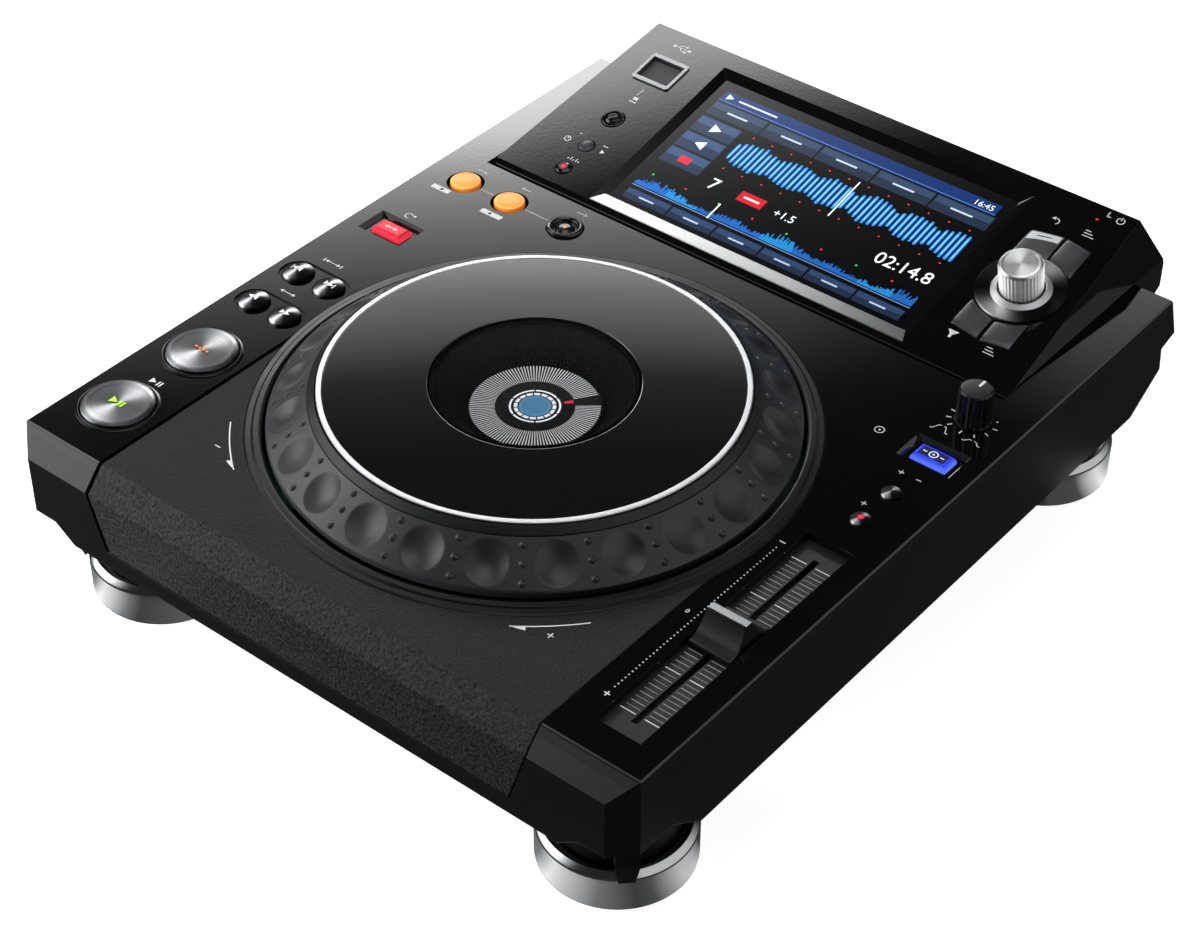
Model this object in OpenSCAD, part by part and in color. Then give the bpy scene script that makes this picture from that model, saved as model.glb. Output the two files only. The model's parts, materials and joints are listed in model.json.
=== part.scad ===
// Tabletop DJ player: media deck with a jog wheel, a tilted touch screen and a pitch fader.
// Drawn about the deck: x to the right, y to the back from the deck's front edge,
// z up from the deck's top. The last step moves that origin over the middle of the footprint.

/* [Body] */
// Overall width
body_w = 305.9; // [300:0.1:312]
// Depth of the deck's flat top
deck_d = 354; // [352:0.5:358]
// Height of the deck's top above the table
deck_h = 84; // [80:0.5:90]
// How far the nose stands out in front of the deck's top
nose_out = 8.8; // [7:0.1:10]
// How far the nose's ridge lies below the deck's top
nose_drop = 9.9; // [8:0.1:12]
// Height of the side walls
skirt_h = 48; // [47:0.5:50]
// Wall thickness of the shell
wall_t = 3; // [2.6:0.1:3.4]
// Thickness of the deck plate
deck_t = 3.2; // [3:0.1:3.4]

/* [Front cover] */
// Left edge of the cover, from the middle
cover_l = 110; // [108:0.1:111]
// Right edge of the cover, from the middle
cover_r = 108.9; // [108:0.1:110]
// Inward lean of its side edges over the front face
cover_lean = 8; // [4:0.5:10]
// Wide joint at the left edge
joint_l = 1.6; // [0.6:0.1:1.8]
// Narrow joint at the right edge
joint_r = 0.5; // [0.3:0.1:1]

/* [Feet] */
// Foot radius
foot_r = 30.5; // [29:0.1:31]
// Distance of each foot from the middle plane
foot_x = 118; // [116:0.5:119]
// Front feet, from the deck's front edge
foot_y1 = 31.4; // [30:0.1:33]
// Rear feet, from the deck's front edge
foot_y2 = 321; // [318:0.5:322]
// Radius of the moulded neck above each foot
neck_r = 24.5; // [23:0.1:25]

/* [Screen housing] */
// Front edge of the tilted panel
hood_y = 259; // [258:0.1:260]
// Tilt of the panel in degrees
hood_tilt = 12.3; // [11.5:0.1:12.5]
// Length of the panel along its slope
hood_l = 109.1; // [108:0.1:110]
// Half width at the deck
hood_w1 = 134.3; // [133:0.1:134.5]
// Half width at the rear top edge
hood_w2 = 127; // [126:0.1:128]
// Shell thickness
hood_t = 2.6; // [2.4:0.1:2.8]
// Visible glass, half width
glass_w = 77.5; // [74:0.1:78]
// Visible glass, front edge along the slope
glass_t1 = 7.5; // [7:0.1:8]
// Visible glass, rear edge along the slope
glass_t2 = 94.5; // [92:0.1:95]

/* [Jog wheel] */
// Wheel centre, from the deck's front edge
jog_y = 126; // [125.5:0.1:126.5]
// Radius of the opening in the deck
well_r = 112; // [111.8:0.1:112.5]
// Outer radius of the rubber rim
rim_r = 104.6; // [104:0.1:105]
// Height of the touch plate
jog_top = 19; // [18.5:0.1:19.5]
// Number of finger dimples
dimples = 24; // [12:2:28]
// Depth of a dimple
dimple_h = 1.8; // [1:0.1:2]
// Outer radius of the touch plate
plate_r = 82; // [80:0.1:82.5]
// Radius of the middle window
window_r = 40.6; // [40:0.1:40.8]
// Slots in the encoder comb
comb_n = 36; // [24:12:60]

/* [Buttons and knobs] */
// Radius of the play and cue buttons
play_r = 14.8; // [14:0.1:15]
// Radius of the search buttons
search_r = 6.8; // [6:0.1:7]
// Radius of the loop buttons' wells
loop_r = 8.4; // [8:0.1:8.5]
// Radius of the selector knob
select_r = 9.2; // [8.5:0.1:9.4]
// Height of the selector knob above the panel
select_h = 15.5; // [13:0.5:17]
// Travel of the pitch fader, end to end
fader_travel = 100; // [60:1:100]

/* [Hidden] */
$fn = 96;

hw = body_w / 2;
k45 = sqrt(2) - 1;
fin_y = deck_d + 7;
shell_gap = 0.2;
mid_y = (379.7 - nose_out) / 2;
comb_r = 70;
rear_y = 347;
jack_z = -27.6;
jack_x = [-96, -80, -60];

// colours
black_gloss = "#101113";
black_satin = "#1b1c1e";
grain_grey = "#232427";
silver = "#c9cbcd";
board_green = "#1f5a35";

// places of the controls on the deck
play_at = [-131.5, 28.5];
cue_at = [-131.2, 73.8];
search_x = -131.5;
search_dx = 8.8;
search_y = 112.4;
track_y = 138.5;
direction_at = [-132.4, 187.4];
loop_in_at = [-131.5, 234.4];
loop_out_at = [-106.4, 234.6];
reloop_at = [-75.2, 234.8];
speed_at = [132.5, 234];
mode_at = [132.4, 206.4];
range_at = [132.6, 177.1];
master_at = [132.4, 157.2];
fader_at = [131.6, 76.7];

// places on the tilted panel: across, up the slope
usb_at = [-105.2, 82];
stop_at = [-104.7, 46.3];
time_at = [-104.1, 26.3];
quantize_at = [-104, 9.8];
select_at = [107, 50];
back_pts = [[91.9, 82], [106.2, 84.8], [106.5, 66], [91.4, 64]];
tag_pts = [[107.7, 84.8], [120.1, 82.2], [120.1, 64], [107.5, 66]];
filter_pts = [[93, 38], [106.2, 36], [105.9, 17.9], [92.5, 19.9]];
shortcut_pts = [[107.7, 36], [120.1, 38], [120.6, 19.3], [107.9, 17.6]];

screw_at = [for (s = [-1, 1], y = [90, 180, 262]) [s * 146.2, y]];

// ---------- frames and helpers ----------

module deck_frame() {
    translate([0, -mid_y, deck_h])
        children();
}

module on_panel() {
    translate([0, hood_y, -0.3])
        rotate([hood_tilt, 0, 0])
            children();
}

module at(p, z = 0) {
    translate([p[0], p[1], z])
        children();
}

// outline in the y-z plane, swept across x
module across(x0, x1) {
    translate([x0, 0, 0])
        rotate([90, 0, 90])
            linear_extrude(x1 - x0)
                children();
}

// outline in the x-z plane, swept along y
module along(y0, y1) {
    translate([0, y1, 0])
        rotate([90, 0, 0])
            linear_extrude(y1 - y0)
                children();
}

module slab(x0, x1, y0, y1, z0, z1) {
    translate([x0, y0, z0])
        cube([x1 - x0, y1 - y0, z1 - z0]);
}

module tube(r1, r2, z0, z1) {
    translate([0, 0, z0])
        difference() {
            cylinder(r = r2, h = z1 - z0);
            translate([0, 0, -1])
                cylinder(r = r1, h = z1 - z0 + 2);
        }
}

// rectangle with four cut corners
module cut_rect(w, d, c) {
    polygon([[-w + c, -d], [w - c, -d], [w, -d + c], [w, d - c],
        [w - c, d], [-w + c, d], [-w, d - c], [-w, -d + c]]);
}

// pocket with four bevelled walls: half sizes at the top and at the given depth
module pocket(w1, d1, w2, d2, depth) {
    kx = (w1 - w2) / depth;
    ky = (d1 - d2) / depth;
    intersection() {
        along(-d1 - 2, d1 + 2)
            polygon([[-w2, -depth], [w2, -depth], [w1 + kx * 0.2, 0.2], [-w1 - kx * 0.2, 0.2]]);
        across(-w1 - 2, w1 + 2)
            polygon([[-d2, -depth], [d2, -depth], [d1 + ky * 0.2, 0.2], [-d1 - ky * 0.2, 0.2]]);
    }
}

// points of an outline scaled about their own centre
function grow(pts, k) =
    let (c = [(pts[0][0] + pts[1][0] + pts[2][0] + pts[3][0]) / 4,
        (pts[0][1] + pts[1][1] + pts[2][1] + pts[3][1]) / 4])
    [for (p = pts) c + (p - c) * k];

// ---------- outer shape of the body ----------

module plan(i = 0, back = fin_y + 1) {
    polygon([[-hw + i, k45 * i], [-hw + nose_out + k45 * i, -nose_out + i],
        [hw - nose_out - k45 * i, -nose_out + i], [hw - i, k45 * i],
        [hw - i, back], [-hw + i, back]]);
}

module body_block() {
    intersection() {
        translate([0, 0, -60])
            linear_extrude(60)
                plan();
        across(-hw - 1, hw + 1)
            polygon([[0, 0], [-nose_out, -nose_drop], [-nose_out, -43], [10, -skirt_h],
                [deck_d - 22.4, -skirt_h], [deck_d - 1.5, -34.4], [deck_d - 3, -23],
                [fin_y, -20], [deck_d, 0]]);
    }
}

// hollow inside the shell, below the deck plate
module body_hollow() {
    d = [nose_drop, -nose_out] / norm([nose_drop, nose_out]) * wall_t;
    intersection() {
        translate([0, 0, -70])
            linear_extrude(70)
                plan(wall_t, rear_y + 1);
        across(-hw, hw)
            polygon([[d[0], d[1]], [-nose_out + wall_t, d[1] - nose_drop - 0.6],
                [-nose_out + wall_t, -43], [3, -44.4], [12, -70],
                [rear_y + 1, -70], [rear_y + 1, 0], [10, 0]]);
    }
}

// raised underside at the front corners; g grows it upwards and inwards
module corner_rise(g = 0) {
    for (s = [-1, 1])
        scale([s, 1, 1])
            intersection() {
                along(-20, 60)
                    polygon([[160, -36 + g], [133 - g * 0.4, -36 + g], [113 - g * 0.4, -50 + g],
                        [113 - g * 0.4, -80], [160, -80]]);
                across(80, 160)
                    polygon([[-20, -36 + g], [18 + g * 0.4, -36 + g], [38 + g * 0.4, -50 + g],
                        [38 + g * 0.4, -80], [-20, -80]]);
            }
}

module cover_zone(gl, gr, low) {
    along(-20, jog_y)
        polygon([[-cover_l - gl, 5], [-cover_l - gl, -nose_drop],
            [-cover_l - gl + cover_lean, low], [cover_r + gr - cover_lean, low],
            [cover_r + gr, -nose_drop], [cover_r + gr, 5]]);
}

// ---------- shell ----------

module side_frame() {
    color(black_satin)
        difference() {
            union() {
                difference() {
                    body_block();
                    difference() {
                        body_hollow();
                        corner_rise(3);
                    }
                    slab(-hood_w1 - 0.5, hood_w1 + 0.5, rear_y, 400, -80, 10);
                }
                for (s = [-1, 1])
                    intersection() {
                        slab(s * 109.6 - 4, s * 109.6 + 4, -5.9, 118, -9, 0);
                        body_block();
                    }
                for (p = screw_at)
                    intersection() {
                        at(p, -skirt_h + 3.8)
                            cylinder(r = 4.6, h = 18);
                        body_block();
                    }
            }
            slab(-200, 200, -20, 400, -deck_t, 10);
            intersection() {
                cover_zone(joint_l, joint_r, -35.4);
                slab(-200, 200, -20, -nose_out + wall_t + 10.4, -60, 10);
            }
            translate([0, jog_y, -60])
                cylinder(r = well_r + 0.4, h = 70);
            corner_rise();
            for (p = screw_at)
                at(p, -skirt_h)
                    cylinder(r = 1.55, h = 18);
        }
}

module socket(top) {
    translate([0, 0, -84])
        rotate_extrude()
            polygon([[0, 5], [neck_r - 1.2, 5], [neck_r - 1.2, 20], [neck_r, 20], [neck_r, 31],
                [neck_r + 0.6, 34], [neck_r + 1.9, 36], [neck_r + 1.9, 84 + top], [0, 84 + top]]);
}

// tapered fin from the corner down past the foot's edge
module corner_rib(s) {
    a = s > 0 ? -45 : -135;
    at([s * foot_x, foot_y1], 0)
        rotate([0, 0, a])
            intersection() {
                along(-4.6, 4.6)
                    polygon([[12, -36.2], [36, -36.2], [34.4, -56], [31.9, -66.8],
                        [foot_r + 0.6, -66.8], [foot_r + 0.6, -63.8], [12, -63.8]]);
                across(10, 40)
                    polygon([[-4.6, -36], [4.6, -36], [4.6, -56], [3, -67], [-3, -67],
                        [-4.6, -56]]);
            }
}

module bottom_case() {
    color(black_satin) {
        difference() {
            union() {
                difference() {
                    intersection() {
                        across(-hw, hw)
                            polygon([[3, -skirt_h + 1.4], [deck_d - 22.4, -skirt_h + 1.4],
                                [rear_y - 0.3, -37.4], [rear_y - 0.3, -35],
                                [deck_d - 23.4, -skirt_h + 3.8], [3, -skirt_h + 3.8]]);
                        body_hollow();
                    }
                    corner_rise(3.2);
                    for (i = [-6 : 6])
                        slab(i * 9 - 1.5, i * 9 + 1.5, 196, 232, -60, 0);
                }
                for (s = [-1, 1], y = [foot_y1, foot_y2])
                    at([s * foot_x, y])
                        socket(-44.2);
                for (x = [-90, 90], y = [60, 225])
                    at([x, y], -45)
                        cylinder(r = 4, h = 15);
                for (x = [-112, -30], y = [255, 310])
                    at([x, y], -45)
                        cylinder(r = 4, h = 8.8);
            }
            difference() {
                corner_rise(3.2);
                corner_rise(-shell_gap);
            }
            for (p = screw_at) {
                at(p, -skirt_h)
                    cylinder(r = 1.7, h = 8);
                at(p, -skirt_h)
                    cylinder(r = 3, h = 2.4);
            }
        }
        intersection() {
            union()
                for (s = [-1, 1]) {
                    at([s * foot_x, foot_y1])
                        socket(-36);
                    corner_rib(s);
                }
            union() {
                corner_rise(-shell_gap);
                slab(-160, 160, -20, 80, -90, -52);
            }
        }
    }
}

module foot_rings() {
    color(silver)
        for (s = [-1, 1], y = [foot_y1, foot_y2])
            at([s * foot_x, y], -deck_h)
                rotate_extrude()
                    polygon([[27.1, 0.8], [foot_r - 1.6, 0.8], [foot_r - 0.5, 1.4],
                        [foot_r, 2.6], [foot_r, 17], [foot_r - 2.5, 19.6], [26.5, 19.6],
                        [26.5, 18.6], [neck_r + 0.1, 18.6], [neck_r + 0.1, 4], [27.1, 4]]);
}

module foot_pads() {
    color("#161616")
        for (s = [-1, 1], y = [foot_y1, foot_y2])
            at([s * foot_x, y], -deck_h)
                rotate_extrude()
                    polygon([[0, 0], [26.2, 0], [27, 0.8], [27, 4], [0, 4]]);
}

module case_screws() {
    color(silver)
        for (p = screw_at)
            at(p, -skirt_h + 0.8) {
                difference() {
                    cylinder(r = 2.8, h = 1.6);
                    slab(-1.8, 1.8, -0.3, 0.3, -1, 0.8);
                    slab(-0.3, 0.3, -1.8, 1.8, -1, 0.8);
                }
                translate([0, 0, 1.6])
                    cylinder(r = 1.5, h = 14);
            }
}

module rear_panel() {
    color(black_satin)
        difference() {
            slab(-hood_w1, hood_w1, rear_y, rear_y + 2.4, -37.4, -deck_t - 0.1);
            for (x = jack_x)
                at([x, rear_y - 1], jack_z)
                    rotate([-90, 0, 0])
                        cylinder(r = 5.2, h = 6);
            slab(-38.4, -21.6, rear_y - 1, rear_y + 4, jack_z - 7.2, jack_z + 7.2);
            slab(-6.4, 6.4, rear_y - 1, rear_y + 4, jack_z - 5.7, jack_z + 5.7);
            slab(60.8, 85.2, rear_y - 1, rear_y + 4, jack_z - 7.2, jack_z + 7.2);
            at([118, rear_y - 1], jack_z)
                rotate([-90, 0, 0])
                    cylinder(r = 6.4, h = 6);
        }
}

// two round holes or two pockets joined by a straight run
module oblong(c, dx, r, z0, z1) {
    for (s = [-1, 1])
        at([c[0] + s * dx, c[1]], z0)
            cylinder(r = r, h = z1 - z0);
    slab(c[0] - dx, c[0] + dx, c[1] - r, c[1] + r, z0, z1);
}

module deck_plate() {
    color(black_gloss)
        difference() {
            union() {
                intersection() {
                    body_block();
                    slab(-200, 200, -20, 400, -deck_t, 1);
                    across(-hw - 1, hw + 1)
                        polygon([[-9, -9], [-9, -6], [-0.3, -0.5], [0.3, 0], [380, 0], [380, -9]]);
                    along(-20, 380)
                        polygon([[-hw, -9], [-hw, -0.7], [-hw + 0.7, 0], [hw - 0.7, 0],
                            [hw, -0.7], [hw, -9]]);
                }
                for (p = [[-144, 52], [-118, 92], [-144, 92], [-118, 160], [-144, 214],
                        [-118, 214], [144, 150], [144, 192], [121, 165], [144, 221.5]])
                    at(p, -10.8)
                        cylinder(r = 2.4, h = 9);
            }
            cover_zone(joint_l, joint_r, -60);
            slab(-hood_w1 - 0.2, hood_w1 + 0.2, rear_y + 3, 400, -9, 9);
            translate([0, jog_y, -9])
                cylinder(r = well_r, h = 20);
            slab(-hood_w1 - 0.5, hood_w1 + 0.5, hood_y - 6.5, hood_y + 14.2, -2.2, 9);
            slab(-124, 124, hood_y + 5.4, rear_y - 0.6, -9, 9);
            for (p = [play_at, cue_at])
                at(p, -9)
                    cylinder(r = play_r + 1.6, h = 20);
            for (y = [search_y, track_y]) {
                oblong([search_x, y], search_dx, search_r + 1.6, -0.8, 5);
                for (s = [-1, 1])
                    at([search_x + s * search_dx, y], -9)
                        cylinder(r = search_r + 0.4, h = 20);
            }
            for (p = [direction_at, mode_at]) {
                at(p)
                    pocket(12.1, 8, 10.4, 6.6, 2.2);
                slab(p[0] - 8.4, p[0] + 8.4, p[1] - 4.9, p[1] + 4.9, -9, 9);
            }
            for (p = [loop_in_at, loop_out_at, reloop_at])
                at(p, -9)
                    cylinder(r = loop_r, h = 20);
            for (p = [range_at, master_at])
                at(p, -9)
                    cylinder(r = 4.6, h = 20);
            at(speed_at, -9)
                cylinder(r = 4.2, h = 20);
            slab(fader_at[0] - 10.2, fader_at[0] + 10.2, fader_at[1] - 63.2,
                fader_at[1] + 62.3, -9, 9);
        }
}

module front_cover() {
    d = [nose_drop, -nose_out] / norm([nose_drop, nose_out]) * wall_t;
    color(grain_grey)
        difference() {
            intersection() {
                body_block();
                cover_zone(0, 0, -35);
            }
            across(-hw, hw)
                polygon([[d[0] + 2, -deck_t], [-nose_out + wall_t, d[1] - nose_drop - 0.6],
                    [-nose_out + wall_t, -80], [200, -80], [200, -deck_t]]);
            translate([0, jog_y, -60])
                cylinder(r = well_r, h = 80);
        }
}

// ---------- screen housing ----------

module hood_sides(i) {
    along(200, 400)
        polygon([[-hood_w1 + i, -30], [hood_w1 - i, -30], [hood_w1 - i, 0],
            [hood_w2 - i, 23.1], [hood_w2 - i - 0.6, 25], [-hood_w2 + i + 0.6, 25],
            [-hood_w2 + i, 23.1], [-hood_w1 + i, 0]]);
}

module quad_cut(pts, depth) {
    difference() {
        translate([0, 0, -depth])
            linear_extrude(depth + 2)
                polygon(pts);
        at(select_at, -20)
            cylinder(r = 19.9, h = 40);
    }
}

// four mitred slopes from the panel down to the glass
module screen_bevel() {
    intersection() {
        along(-5, 115)
            polygon([[-glass_w, -2], [glass_w, -2], [glass_w + 4.95, 0.2], [-glass_w - 4.95, 0.2]]);
        across(-glass_w - 9, glass_w + 9)
            polygon([[glass_t1, -2], [glass_t2, -2], [glass_t2 + 5.5, 0.2], [-0.3, 0.2]]);
    }
}

module display_housing() {
    // rear top edge of the panel
    ry = hood_y + hood_l * cos(hood_tilt);
    rz = -0.3 + hood_l * sin(hood_tilt);
    // shell thickness seen along the panel's normal
    ny = hood_t * sin(hood_tilt);
    nz = hood_t * cos(hood_tilt);
    color(black_gloss)
        difference() {
            union() {
                difference() {
                    intersection() {
                        across(-hood_w1, hood_w1)
                            polygon([[hood_y - 3.5, -2.2], [hood_y - 2.8, -1.1], [hood_y, -0.3],
                                [ry, rz], [378.5, 0], [379.7, -3], [379.7, -14.5], [374, -18],
                                [350.2, -18], [350.2, 0], [hood_y + 14, 0],
                                [hood_y + 14, -2.2]]);
                        hood_sides(0);
                    }
                    intersection() {
                        across(-hood_w1, hood_w1)
                            polygon([[hood_y + 3.9, -6],
                                [hood_y + 3.9, -0.3 - nz + (3.9 - ny) * tan(hood_tilt)],
                                [ry - 1.4, -0.3 - nz + (ry - 1.4 - hood_y - ny) * tan(hood_tilt)],
                                [376.2, -1.3], [377.1, -3], [377.1, -15.4], [352.8, -15.4],
                                [352.8, -6]]);
                        hood_sides(hood_t);
                    }
                }
                on_panel()
                    for (p = [[-119, 64], [-92, 64], [-119, 30], [121, 50], [87.5, 30], [87.5, 70]])
                        at(p, -10.8)
                            cylinder(r = 2.2, h = 9);
            }
            on_panel() {
                screen_bevel();
                slab(-glass_w, glass_w, glass_t1, glass_t2, -9, 0);
                slab(usb_at[0] - 9.4, usb_at[0] + 9.4, usb_at[1] - 8.2, usb_at[1] + 8.2, -9, 5);
                at(stop_at, -9)
                    cylinder(r = 5.6, h = 20);
                for (p = [time_at, quantize_at])
                    at(p, -9)
                        cylinder(r = 4.1, h = 20);
                at(select_at, -9)
                    cylinder(r = 11.2, h = 20);
                for (q = [back_pts, tag_pts, filter_pts, shortcut_pts])
                    translate([0, 0, -9])
                        difference() {
                            linear_extrude(20)
                                polygon(grow(q, 1.06));
                            at(select_at, -1)
                                cylinder(r = 19.5, h = 30);
                        }
            }
        }
}

module screen_trim() {
    color("#b9bcbf")
        on_panel()
            intersection() {
                across(-glass_w - 4, glass_w + 4)
                    polygon([[0.9, -0.05], [glass_t1 - 0.1, -1.4], [glass_t1 - 0.1, -1.94],
                        [0.9, -0.11]]);
                along(-1, 20)
                    polygon([[-glass_w, -2], [glass_w, -2], [glass_w + 4.4, 0], [-glass_w - 4.4, 0]]);
            }
}

module touch_glass() {
    color("#0a0c10")
        on_panel()
            slab(-glass_w + 0.1, glass_w - 0.1, glass_t1 + 0.1, glass_t2 - 0.1, -3.2, -2);
}

module lcd_module() {
    color("#3a3d41")
        on_panel() {
            slab(-glass_w - 3, glass_w + 3, glass_t1 - 0.5, glass_t2 + 3, -10.5, -3.2);
            slab(-60, 60, 20, 80, -12.1, -10.5);
        }
}

module usb_frame() {
    color(silver)
        on_panel()
            at(usb_at)
                difference() {
                    union() {
                        translate([0, 0, 0.02])
                            linear_extrude(0.9)
                                cut_rect(10.2, 9.1, 1);
                        slab(-9.3, 9.3, -8.1, 8.1, -14, 0.1);
                    }
                    slab(-8.7, 8.7, -6.9, 6.9, -20, 5);
                    translate([-12, 6.1, -1.7])
                        rotate([0, 90, 0])
                            cylinder(r = 0.75, h = 24);
                }
}

module usb_flap() {
    color("#4a4c4f")
        on_panel()
            at(usb_at) {
                difference() {
                    slab(-8.3, 8.3, -6.5, 5.4, -2.1, -1.1);
                    translate([-3.4, -7.2, -5])
                        cylinder(r = 2, h = 8);
                }
                translate([-8.3, 6.1, -1.7])
                    rotate([0, 90, 0])
                        cylinder(r = 0.7, h = 16.6);
                slab(-8.3, 8.3, 5.2, 6.1, -2.1, -1.3);
                for (s = [-1, 1])
                    translate([s * 8.7 - 0.7, 6.1, -1.7])
                        rotate([0, 90, 0])
                            cylinder(r = 0.7, h = 1.4);
            }
}

module usb_socket() {
    color("#8f9296")
        on_panel()
            at([usb_at[0], usb_at[1] - 2.8]) {
                difference() {
                    slab(-7.2, 7.2, -3.6, 3.6, -26, -14.2);
                    slab(-6.3, 6.3, -2.6, 2.6, -24.6, -10);
                }
                slab(-5.6, 5.6, 0.4, 2.3, -24.8, -16);
            }
}

// ---------- jog wheel ----------

module at_jog() {
    translate([0, jog_y, 0])
        children();
}

module jog_bezel() {
    color(black_satin)
        at_jog()
            rotate_extrude($fn = 180)
                polygon([[106, -6], [well_r - 0.3, -6], [well_r - 0.3, 0], [well_r + 1.3, 0],
                    [well_r + 1.3, 0.3], [110.2, 0.8], [106.7, 1.9], [106, 1.5]]);
}

module jog_rim() {
    rm = 96.1;
    zm = 9.65;
    slope = atan2(11.9, 16.2);
    ball = (8 * 8 + dimple_h * dimple_h) / (2 * dimple_h);
    up = ball - dimple_h;
    color("#1a1a1b")
        at_jog()
            difference() {
                rotate_extrude($fn = 180)
                    polygon([[88, 12.6], [88, 15.6], [rim_r - 0.4, 3.7], [rim_r, 3.1],
                        [rim_r, 0.9], [101.6, 0.9], [101.6, 2.6]]);
                for (i = [0 : dimples - 1])
                    rotate([0, 0, i * 360 / dimples])
                        translate([rm + up * sin(slope), 0, zm + up * cos(slope)])
                            sphere(r = ball);
            }
}

module jog_hub() {
    color("#2b2c2e")
        at_jog() {
            difference() {
                rotate_extrude($fn = 180)
                    polygon([[24.05, -20], [28, -20], [28, -0.6], [87, -0.6], [97.8, 0.6],
                        [101.4, 0.6], [101.4, 2.4], [87.8, 12.4], [87.8, 16.2],
                        [plate_r + 2.9, 18.7], [plate_r + 2.9, 2.4], [24.05, 2.4]]);
                for (i = [0 : 5])
                    rotate([0, 0, i * 60 + 15])
                        translate([48, 0, -5])
                            cylinder(r = 9, h = 12);
            }
            difference() {
                tube(comb_r, comb_r + 1.2, -8, -0.5);
                for (i = [0 : comb_n / 2 - 1])
                    rotate([0, 0, i * 360 / comb_n])
                        slab(-80, 80, -comb_r * PI / comb_n / 2, comb_r * PI / comb_n / 2, -12, -3);
            }
        }
}

module jog_plate() {
    color(black_gloss)
        at_jog()
            rotate_extrude($fn = 180)
                polygon([[window_r + 0.8, jog_top - 2.4], [window_r + 0.8, jog_top],
                    [plate_r, jog_top], [plate_r, jog_top - 2], [plate_r + 2.3, jog_top - 2],
                    [plate_r + 2.3, jog_top - 3.6], [79, jog_top - 3.6], [79, 3.8], [76.6, 3.8],
                    [76.6, jog_top - 2.4]]);
}

module jog_ring() {
    color(silver)
        at_jog()
            rotate_extrude($fn = 180)
                polygon([[plate_r + 0.05, jog_top - 1.98], [plate_r + 2.4, jog_top - 1.98],
                    [plate_r + 2.4, jog_top - 0.2], [plate_r + 2, jog_top + 0.2],
                    [plate_r + 0.4, jog_top + 0.2], [plate_r + 0.05, jog_top]]);
}

module jog_bearing() {
    color("#b08d4a")
        at_jog()
            tube(20.02, 24, -20.8, -0.6);
}

module jog_column() {
    color("#6a6d70")
        at_jog()
            rotate_extrude()
                polygon([[14, -skirt_h + 3.85], [34, -skirt_h + 3.85], [34, -41.4], [20, -38],
                    [20, -24], [26.5, -24], [26.5, -20.8], [20, -20.8], [20, 3.6], [14, 3.6]]);
}

module jog_dish() {
    color("#0c0c0d")
        at_jog()
            rotate_extrude()
                polygon([[13, 3.65], [28, 3.65], [window_r - 0.1, 17.2], [window_r, 17.6],
                    [window_r, jog_top + 0.3], [window_r - 0.7, jog_top + 0.3],
                    [window_r - 0.7, 17.4], [window_r - 1.6, 17.4], [27.2, 5.2], [13, 5.2]]);
}

module jog_display() {
    color("#1c2733")
        at_jog()
            translate([0, 0, 5.22])
                cylinder(r = 26.4, h = 1.3);
}

module jog_window() {
    color("#30343a", 0.4)
        at_jog()
            translate([0, 0, 17.42])
                cylinder(r = window_r - 0.75, h = jog_top - 17.52);
}

// ---------- deck buttons ----------

// round cap with a crown, a straight skirt and a flange that keeps it under the plate
module round_button(r, top, crown) {
    n = 8;
    rotate_extrude()
        polygon(concat(
            [for (i = [0 : n]) [r * i / n * 0.94, top - crown * pow(i / n, 2)]],
            [[r, top - crown - 0.06 * r], [r, -deck_t - 0.8], [r + 1.1, -deck_t - 0.8],
                [r + 1.1, -deck_t - 2.2], [0, -deck_t - 2.2]]));
}

module transport_rings() {
    color("#161719")
        for (p = [play_at, cue_at])
            at(p)
                rotate_extrude()
                    polygon([[play_r + 0.4, -3], [play_r + 1.5, -3], [play_r + 1.5, 0.01],
                        [play_r + 2.1, 0.01], [play_r + 2, 0.5], [play_r + 0.9, 0.7],
                        [play_r + 0.4, 0.3]]);
}

module play_button() {
    color(silver)
        at(play_at)
            round_button(play_r, 2, 0.4);
}

module cue_button() {
    color(silver)
        at(cue_at)
            round_button(play_r, 2, 0.4);
}

module search_cap(x, y) {
    color("#202123")
        at([x, y])
            round_button(search_r, 2.2, 1.6);
}

module search_back() {
    search_cap(search_x - search_dx, search_y);
}

module search_forward() {
    search_cap(search_x + search_dx, search_y);
}

module track_back() {
    search_cap(search_x - search_dx, track_y);
}

module track_forward() {
    search_cap(search_x + search_dx, track_y);
}

// lit block with sloping sides, in a pocket
module block_cap(p) {
    at(p) {
        intersection() {
            along(-4.5, 4.5)
                polygon([[-8, -deck_t - 1], [8, -deck_t - 1], [8, -1.6], [6.9, 0.2],
                    [-6.9, 0.2], [-8, -1.6]]);
            across(-8, 8)
                polygon([[-4.5, -deck_t - 1], [4.5, -deck_t - 1], [4.5, -1.6], [3.5, 0.2],
                    [-3.5, 0.2], [-4.5, -1.6]]);
        }
        slab(-9.6, 9.6, -6.1, 6.1, -deck_t - 2.2, -deck_t - 0.9);
    }
}

module direction_button() {
    color("#e8384f")
        block_cap(direction_at);
}

module jog_mode_button() {
    color("#3f57e8")
        block_cap(mode_at);
}

// round lit cap with two flat sides on a round collar
module loop_cap(p) {
    at(p) {
        intersection() {
            round_button(loop_r - 0.7, 2, 1);
            slab(-6.5, 6.5, -9, 9, -3.2, 3);
        }
        translate([0, 0, -deck_t - 2.2])
            cylinder(r = loop_r - 0.4, h = 3.8);
        translate([0, 0, -deck_t - 2.2])
            cylinder(r = loop_r + 0.8, h = 1.4);
    }
}

module loop_in_button() {
    color("#f0a050")
        loop_cap(loop_in_at);
}

module loop_out_button() {
    color("#f0a050")
        loop_cap(loop_out_at);
}

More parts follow.
